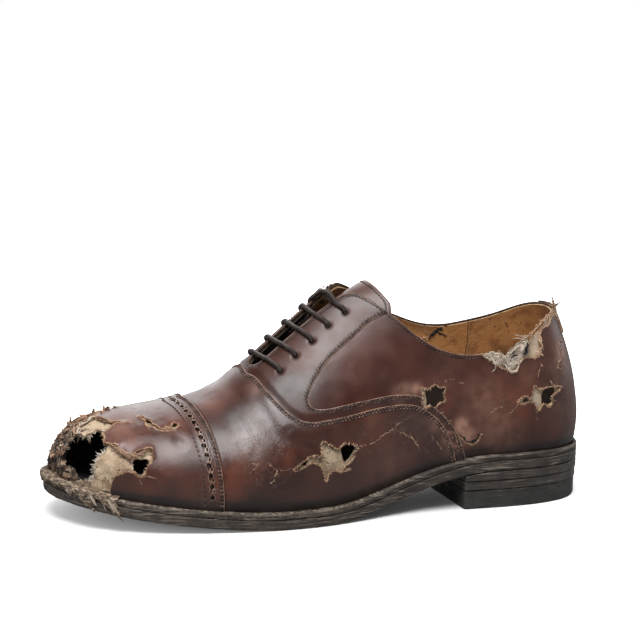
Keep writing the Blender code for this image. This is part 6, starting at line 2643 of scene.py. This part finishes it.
            self.ribbon(self.either(0.55),
                        [(turn, climb), (turn + reach, climb - 0.01 - 0.05 * self.rng.random()),
                         (turn + 2 * reach, climb - 0.02 - 0.09 * self.rng.random())],
                        (0.6 + self.rng.random(), 0.6, 0.2 - self.rng.random()), self.rng.uniform(0.25, 0.7),
                        self.rng.uniform(0.1, 0.95), rough=0.6)
        self.rim()
        self.mat()
        self.rags()

    def rim(self) -> None:
        """Shreds that stand up from the far rim of the toe's hole."""
        for _ in range(60):
            turn, climb = self.rng.uniform(11.7, 13.1), self.rng.uniform(0.04, 0.60)
            reach = self.rng.uniform(-0.16, 0.16)
            rise = self.rng.uniform(0.3, 1.6) - 1.6 * math.exp(-((turn - 12.15) / 0.5) ** 2)
            self.ribbon(self.either(0.6),
                        [(turn, climb), (turn + reach, climb + self.rng.uniform(-0.03, 0.05)),
                         (turn + 2.0 * reach, climb + self.rng.uniform(-0.03, 0.10))],
                        (rise - 1.0, rise, rise - 0.8), self.rng.uniform(0.4, 1.1),
                        self.rng.choice((-0.45, -0.2, 0.2, 0.55)), 0.4, 0.7)
        for _ in range(150):
            turn, climb = self.rng.uniform(11.5, 13.1), self.rng.uniform(0.02, 0.62)
            if turn < 11.75 and climb > 0.15:
                continue
            start = LAST.surface(turn, climb, -0.8 - 1.8 * math.exp(-((turn - 12.15) / 0.5) ** 2))
            outward = LAST.normal(np.array([turn]), np.array([climb]))[0]
            self.strand(self.either(0.5), start,
                        0.9 * outward + self.rng.normal(0.0, 0.9, 3), self.rng.uniform(1.0, 3.4),
                        self.rng.uniform(0.15, 0.5), self.rng.uniform(-0.4, 0.7), bend=1.2)

    def mat(self) -> None:
        """Rough matted crust over the welt at the toe, with two flaps over the sole's side."""
        turns = np.linspace(10.22, 13.35, 420)
        width = LAST.welt_width(turns)
        ends = ramp(turns, 10.22, 10.45) * (1.0 - ramp(turns, 13.0, 13.35))
        spots = LAST.point(turns, np.zeros(len(turns)))
        ragged = np.abs(Noise(301).at(spots, 1.1)) + 0.7 * np.abs(Noise(302).at(spots, 2.7))
        hang = 0.4 + 1.3 * ragged * ends
        for middle, spread, reach in ((10.44, 0.11, 10.5), (10.92, 0.15, 8.5), (12.1, 0.3, 2.0)):
            hang = hang + reach * bell(turns - middle, spread) * (0.45 + 0.55 * ragged)
        rows = []
        for share in np.linspace(0.0, 1.0, 22):
            out = np.interp(share, (0.0, 0.25, 0.60, 0.72, 1.0), (-2.6, -0.3, 1.0, 1.0, 1.0))
            beyond = np.interp(share, (0.0, 0.45, 0.72, 0.80, 1.0), (0.0, -1.2, 0.1, 0.7, 0.5))
            across = np.where(out < 0.5, out, 0.0) + (out >= 0.5) * width + (0.25 <= share) * beyond
            rise = np.interp(share, (0.0, 0.25, 0.60, 0.72), (12.2, 10.3, 9.3, 9.0))
            drift = -0.11 * max(0.0, share - 0.72) * hang
            plan = LAST.outline(turns + drift, across)
            fall = np.maximum(0.0, share - 0.74) / 0.26 * hang
            place = np.column_stack([plan, LAST.floor_line(plan[:, 0]) + rise - fall])
            outward = unit(np.column_stack([plan - LAST.outline(turns, across - 1.0),
                                            np.full(len(turns), 0.6)]))
            bumps = 0.75 * Noise(303).layered(place * (1.0, 1.0, 1.7), 3.2, 3) * ends
            rows.append(place + outward * bumps[:, None] * (0.35 if share > 0.75 else 1.0))
        top = np.array(rows)
        count = top.shape[0] * top.shape[1]
        index = np.arange(count).reshape(top.shape[:2])
        faces = quads(index[:-1, :-1], index[:-1, 1:], index[1:, 1:], index[1:, :-1])
        inward = -unit(np.cross(np.gradient(top, axis=1), np.gradient(top, axis=0)))
        if inward[5, 5, 2] > 0:
            inward = -inward
            faces = faces[:, ::-1]
        under = top + inward * 0.7
        make_piece("welt_crust", np.concatenate([top.reshape(-1, 3), under.reshape(-1, 3)]),
                   shell(faces, count)[0], [Matted("matted_fibre").make()])

    def rags(self) -> None:
        """Fibres shredded over the welt at the toe, some hanging down the sole's side."""
        upward = np.array((0.0, 0.0, 1.0))
        for _ in range(420):
            turn = 10.50 + 2.6 * self.rng.beta(1.1, 1.3)
            width = float(LAST.welt_width(turn))
            share = self.rng.random()
            out = -1.5 + (width - 0.2) * share
            flow = self.rng.choice((-1.0, 1.0)) * self.rng.uniform(0.04, 0.30)
            turns = np.linspace(turn, turn + flow, 7)
            reach = np.linspace(out, out + self.rng.normal(0.0, 1.3), 7)
            plan = LAST.outline(turns, np.minimum(reach, width + 0.3))
            lift = 8.7 + 2.4 * (1.0 - share) * self.rng.random() + self.rng.uniform(-0.1, 0.5)
            path = np.column_stack([plan, LAST.floor_line(plan[:, 0]) + lift]) + 0.28 * self.wander(7)
            size = self.rng.uniform(0.2, 0.75) * np.sin(np.pi * np.linspace(0.12, 0.97, 7)) ** 0.6 + 0.03
            bundle = self.beige if self.rng.random() < 0.7 else self.tan
            bundle.add(*tube(path, size, 0.4 * size, upward + 0.4 * self.rng.normal(0.0, 1.0, 3), 4),
                       self.rng.uniform(-0.25, 0.75))
        for middle, count, reach, wide in ((11.16, 9, 4.5, 0.7), (10.80, 12, 8.0, 0.9),
                                           (10.42, 16, 9.5, 0.9), (12.2, 6, 2.5, 0.5), (10.60, 8, 4.0, 0.5)):
            for _ in range(count):
                turn = middle + self.rng.normal(0.0, 0.055)
                width = float(LAST.welt_width(turn))
                plan = LAST.outline(turn, width - self.rng.uniform(0.6, 2.2))
                away = unit(LAST.outline(turn, width + 1.0) - plan)
                along = LAST.outline(turn - 0.03, width) - LAST.outline(turn, width)
                start = np.array((*plan, float(LAST.floor_line(plan[0])) + 8.6))
                edge = start + np.array((*(away * 1.9 + 0.5 * along), 0.3))
                drop = reach * self.rng.uniform(0.3, 1.0)
                swing = 0.25 * away + 0.9 * drop * self.rng.uniform(0.5, 1.0) * along
                low = edge + np.array((*swing, -drop))
                middle_way = 0.5 * (edge + low) + np.array((*(0.3 * away), 0.0))
                path = self.smooth(np.array((start, edge, middle_way, low)))
                size = wide * self.rng.uniform(0.35, 1.0) * np.linspace(1.0, 0.05, len(path)) ** 0.7
                self.beige.add(*tube(path, size, 0.35 * size, np.array((*away, 0.2)), 4),
                               self.rng.uniform(0.1, 0.9))

    @staticmethod
    def smooth(knots: Array) -> Array:
        """A few knots with their corners rounded."""
        for _ in range(2):
            middle = np.stack([0.75 * knots[:-1] + 0.25 * knots[1:],
                               0.25 * knots[:-1] + 0.75 * knots[1:]], 1)
            knots = np.concatenate([knots[:1], middle.reshape(-1, 3), knots[-1:]])
        return knots

    def collar(self) -> None:
        """Pale backing, folded strips, a rolled edge and dark strips of painted shadow in the gaps where the
        collar is torn.
        """
        strips = (((2.90, 0.525), (2.76, 0.527), (2.60, 0.520), (2.54, 0.485)),
                  ((2.58, 0.490), (2.48, 0.525), (2.34, 0.545), (2.20, 0.565)),
                  ((2.56, 0.480), (2.50, 0.445), (2.40, 0.432), (2.32, 0.455), (2.24, 0.495)),
                  ((2.88, 0.512), (2.74, 0.490), (2.70, 0.465), (2.74, 0.432)))
        for pairs in strips:
            self.ribbon(self.beige, pairs, (0.3, 1.3, 1.2, 0.2), 0.55, 0.55 + 0.4 * self.rng.random(),
                        0.5, 0.45)
        for k in range(3):
            shift = 0.004 * (k - 1.0)
            self.ribbon(self.tan if k else self.beige, [(turn, climb + shift) for turn, climb in
                                                        ((2.20, 0.565), (2.08, 0.598), (1.86, 0.628),
                                                         (1.64, 0.655), (1.36, 0.684), (0.96, 0.705),
                                                         (0.55, 0.712))],
                        (-0.9 + 0.3 * k, -0.3, -0.3, -0.2), 0.24, 0.55 + 0.2 * k, 0.7, 0.5)
        for _ in range(38):
            share = self.rng.random()
            start = LAST.surface(2.20 - 1.6 * share, 0.562 + 0.145 * share ** 0.6,
                                 self.rng.uniform(-0.6, 0.3))
            self.strand(self.either(0.6), start,
                        (self.rng.normal(-0.2, 0.6), 0.25, self.rng.normal(0.1, 0.7)),
                        self.rng.uniform(0.8, 2.6), 0.20, self.rng.uniform(0.3, 1.0))
        # Painted shadow in the gaps beside the torn felt.
        for pairs, width in ((((2.19, 0.515), (2.13, 0.545), (2.06, 0.580)), 0.95),
                             (((2.44, 0.500), (2.36, 0.515), (2.28, 0.508)), 0.5)):
            self.ribbon(self.shadow_strips, pairs, (1.1, 1.5, 1.1), width, 0.2, 0.3, 0.4)
        for pairs in (((2.32, 0.618), (2.18, 0.610), (2.04, 0.615)),
                      ((2.36, 0.60), (2.20, 0.595), (2.02, 0.60))):
            self.ribbon(self.beige, pairs, (0.6, 0.3, 0.0), 0.24, 0.8)
        for pairs in (((1.68, 0.625), (1.76, 0.590), (1.76, 0.555), (1.86, 0.528)),
                      ((1.72, 0.615), (1.79, 0.570), (1.74, 0.53)),
                      ((1.96, 0.53), (1.84, 0.515), (1.78, 0.50))):
            self.ribbon(self.tan, pairs, (1.0, 1.5, 1.1), 0.50, 1.0)
        for _ in range(26):
            turn = self.rng.uniform(0.30, 0.70)
            start = LAST.surface(turn, self.rng.uniform(0.695, 0.73), self.rng.uniform(-0.5, 0.9))
            self.strand(self.beige if self.rng.random() < 0.5 else self.tan, start,
                        self.rng.normal(0.0, 0.6, 3) + (0, 0.3, 0.1),
                        self.rng.uniform(1.5, 4.0), 0.30, self.rng.uniform(0.2, 1.0))
        for heading, length in (((0.10, 0.0, 1.0), 8.5), ((-0.45, 0.2, 0.55), 5.0), ((-0.25, 0.3, 0.2), 4.0),
                                ((0.35, 0.0, 0.9), 4.5)):
            self.strand(self.tan, LAST.surface(0.52, 0.712, 0.6), heading, length, 0.60, 0.35, bend=0.22)

    def inside(self) -> None:
        """Seam, split and shreds of the lining on the far side of the collar, with the seam line and the
        split as dark strips of painted shadow.
        """
        face = (-2.25,)
        seam = ((21.62, 0.64), (21.56, 0.575), (21.54, 0.480), (21.50, 0.405), (21.46, 0.30))
        # Painted shadow along the seam, beside its pale ridge.
        self.ribbon(self.shadow_strips, seam, face, 0.17, 0.3, rough=0.1)
        self.ribbon(self.tan, [(turn + 0.045, climb) for turn, climb in seam], face, 0.20, 0.12, rough=0.2)
        # Painted shadow in the lining's split and small gaps.
        for pairs, width in ((((20.90, 0.500), (20.98, 0.525), (21.06, 0.545), (21.22, 0.568)), 0.95),
                             (((21.02, 0.545), (21.10, 0.520), (21.20, 0.505)), 0.55),
                             (((20.74, 0.46), (20.82, 0.47), (20.92, 0.465)), 0.30),
                             (((22.30, 0.585), (22.36, 0.55), (22.34, 0.52)), 0.25)):
            self.ribbon(self.shadow_strips, pairs, face, width, 0.2, 0.25, 0.3)
        for _ in range(5):
            turn, climb = self.rng.uniform(20.70, 20.84), self.rng.uniform(0.51, 0.56)
            self.ribbon(self.tan, [(turn, climb), (turn + 0.05, climb - 0.02), (turn + 0.10, climb - 0.015)],
                        (-2.2, -2.5, -2.2), self.rng.uniform(0.15, 0.35), self.rng.uniform(0.5, 1.0),
                        rough=0.4)
        for _ in range(5):
            start = LAST.surface(18.46, 0.965, 0.3) + self.rng.normal(0.0, 0.8, 3)
            self.strand(self.tan, start, (0.3, 0.2, 1.0), self.rng.uniform(2.0, 4.5), 0.6, 0.3, bend=0.9)

    def build(self) -> None:
        """Build all the wear."""
        self.cracks()
        self.inside()
        self.edges()
        self.toe()
        self.collar()
        for bundle, name, fibre in (
                (self.tan, "leather_frays", Fibre("torn_leather", (0.17, 0.085, 0.055), (0.62, 0.40, 0.26))),
                (self.beige, "lining_frays", Fibre("torn_lining", (0.21, 0.150, 0.105), (0.66, 0.55, 0.43))),
                (self.pale, "pale_frays", Fibre("bleached_fibre", (0.42, 0.36, 0.30), (0.80, 0.73, 0.64))),
                # The very dark strips are painted shadow.
                (self.shadow_strips, "painted_shadows", Fibre("split", (0.010, 0.007, 0.006), (0.020, 0.013, 0.011)))):
            bundle.make(name, fibre.make(), "torn_lining")


# ---------------------------------------------------------------- the studio

@dataclass(frozen=True)
class Studio:
    """White floor, soft lamps and the camera."""

    view_turn: float = 18.71        # degrees from square-on towards the toe
    view_rise: float = 10.87
    view_roll: float = 1.17
    distance: float = 1.641
    lens: float = 173.08
    target: tuple = (148.09, 0.0, 99.78)
    sky_light: float = 0.18
    floor_bounce: float = 0.32
    floor_shown: float = 0.85
    floor_glow: float = 0.02

    def camera(self) -> None:
        """Stand the camera in front of the outer side."""
        turn, rise, roll = (math.radians(angle)
                            for angle in (self.view_turn, self.view_rise, self.view_roll))
        back = Vector((math.sin(turn) * math.cos(rise), math.cos(turn) * math.cos(rise), math.sin(rise)))
        right = (-back).cross(Vector((0, 0, 1))).normalized()
        up = right.cross(-back)
        right, up = (math.cos(roll) * right + math.sin(roll) * up,
                     math.cos(roll) * up - math.sin(roll) * right)
        data = bpy.data.cameras.new("camera")
        data.lens = self.lens
        data.sensor_width = 36.0
        data.clip_end = 20.0
        camera = bpy.data.objects.new("camera", data)
        camera.matrix_world = Matrix((right, up, back)).transposed().to_4x4()
        camera.location = Vector((np.array(self.target) - ORIGIN) * MM) + back * self.distance
        bpy.context.scene.collection.objects.link(camera)
        bpy.context.scene.camera = camera

    def lamp(self, name: str, place: Triple, aim: Triple, size: float, power: float) -> None:
        """Hang one soft lamp.

        Args:
            name: its name.
            place: where it hangs, in metres.
            aim: what it points at.
            size: its width in metres.
            power: its power in watts.
        """
        data = bpy.data.lights.new(name, "AREA")
        data.shape = "DISK"
        data.size = size
        data.energy = power
        lamp = bpy.data.objects.new(name, data)
        lamp.location = place
        lamp.rotation_euler = (Vector(aim) - Vector(place)).to_track_quat("-Z", "Y").to_euler()
        bpy.context.scene.collection.objects.link(lamp)

    def floor(self) -> None:
        """Lay the floor, which looks white and keeps the shoe's shadow."""
        mesh = bpy.data.meshes.new("floor")
        half = 0.85
        mesh.from_pydata([(-half, -half, 0), (half, -half, 0), (half, half, 0), (-half, half, 0)], [],
                         [(0, 1, 2, 3)])
        floor = bpy.data.objects.new("floor", mesh)
        bpy.context.scene.collection.objects.link(floor)
        material = bpy.data.materials.new("floor")
        material.use_nodes = True
        tree = material.node_tree
        shader = tree.nodes["Principled BSDF"]
        shader.inputs["Roughness"].default_value = 0.9
        shader.inputs["Specular IOR Level"].default_value = 0.0
        seen = tree.nodes.new("ShaderNodeLightPath").outputs["Is Camera Ray"]
        shade = tree.nodes.new("ShaderNodeMix")
        shade.data_type = "RGBA"
        shade.inputs[6].default_value = (*(self.floor_bounce,) * 3, 1.0)
        shade.inputs[7].default_value = (*(self.floor_shown,) * 3, 1.0)
        tree.links.new(seen, shade.inputs[0])
        tree.links.new(shade.outputs[2], shader.inputs["Base Color"])
        # Painted light: for the camera the floor also glows, faint beside the shoe and full white farther
        # out, which sets how dark the shoe's shadow reads.
        squash = tree.nodes.new("ShaderNodeMapping")
        squash.inputs["Scale"].default_value = (0.55, 1.0, 1.0)
        tree.links.new(tree.nodes.new("ShaderNodeTexCoord").outputs["Object"], squash.inputs["Vector"])
        away = tree.nodes.new("ShaderNodeVectorMath")
        away.operation = "LENGTH"
        tree.links.new(squash.outputs[0], away.inputs[0])
        fade = tree.nodes.new("ShaderNodeMapRange")
        fade.interpolation_type = "SMOOTHSTEP"
        for label, number in (("From Min", 0.035), ("From Max", 0.165), ("To Min", self.floor_glow),
                              ("To Max", 1.5)):
            fade.inputs[label].default_value = number
        tree.links.new(away.outputs["Value"], fade.inputs["Value"])
        scale = tree.nodes.new("ShaderNodeMath")
        scale.operation = "MULTIPLY"
        tree.links.new(fade.outputs["Result"], scale.inputs[0])
        tree.links.new(seen, scale.inputs[1])
        glow = tree.nodes.new("ShaderNodeEmission")
        both = tree.nodes.new("ShaderNodeAddShader")
        tree.links.new(scale.outputs[0], glow.inputs["Strength"])
        tree.links.new(shader.outputs[0], both.inputs[0])
        tree.links.new(glow.outputs[0], both.inputs[1])
        tree.links.new(both.outputs[0], tree.nodes["Material Output"].inputs["Surface"])
        mesh.materials.append(material)

    def sky(self) -> None:
        """Light all round, white where the camera looks past the floor."""
        world = bpy.data.worlds.new("studio")
        world.use_nodes = True
        tree = world.node_tree
        lit = tree.nodes["Background"]
        lit.inputs["Color"].default_value = (1.0, 1.0, 1.0, 1.0)
        lit.inputs["Strength"].default_value = self.sky_light
        white = tree.nodes.new("ShaderNodeBackground")
        white.inputs["Color"].default_value = (1.0, 1.0, 1.0, 1.0)
        white.inputs["Strength"].default_value = 1.0
        mix = tree.nodes.new("ShaderNodeMixShader")
        seen = tree.nodes.new("ShaderNodeLightPath").outputs["Is Camera Ray"]
        tree.links.new(seen, mix.inputs[0])
        tree.links.new(lit.outputs[0], mix.inputs[1])
        tree.links.new(white.outputs[0], mix.inputs[2])
        tree.links.new(mix.outputs[0], tree.nodes["World Output"].inputs["Surface"])
        bpy.context.scene.world = world

    def build(self) -> None:
        """Set the whole studio up."""
        self.camera()
        self.floor()
        self.sky()
        self.lamp("key", (0.26, 0.47, 1.14), (0.0, 0.0, 0.05), 0.90, 19.0)
        self.lamp("back", (-0.1, -1.30, 0.75), (0.0, 0.0, 0.05), 1.5, 9.0)
        self.lamp("side", (-1.25, -0.30, 0.45), (0.0, 0.0, 0.05), 1.0, 3.5)
        bpy.context.scene.view_settings.view_transform = "Standard"


def main() -> None:
    """Build the shoe and its studio."""
    logging.basicConfig(level=logging.INFO, format="%(message)s")
    Studio().build()
    Sole().build()
    skin = Skin(Upper().build())
    tongue = Tongue().build()
    Laces().build()
    Stitching(skin).build(tongue)
    Wear(skin).build()


if __name__ == "__main__":
    main()
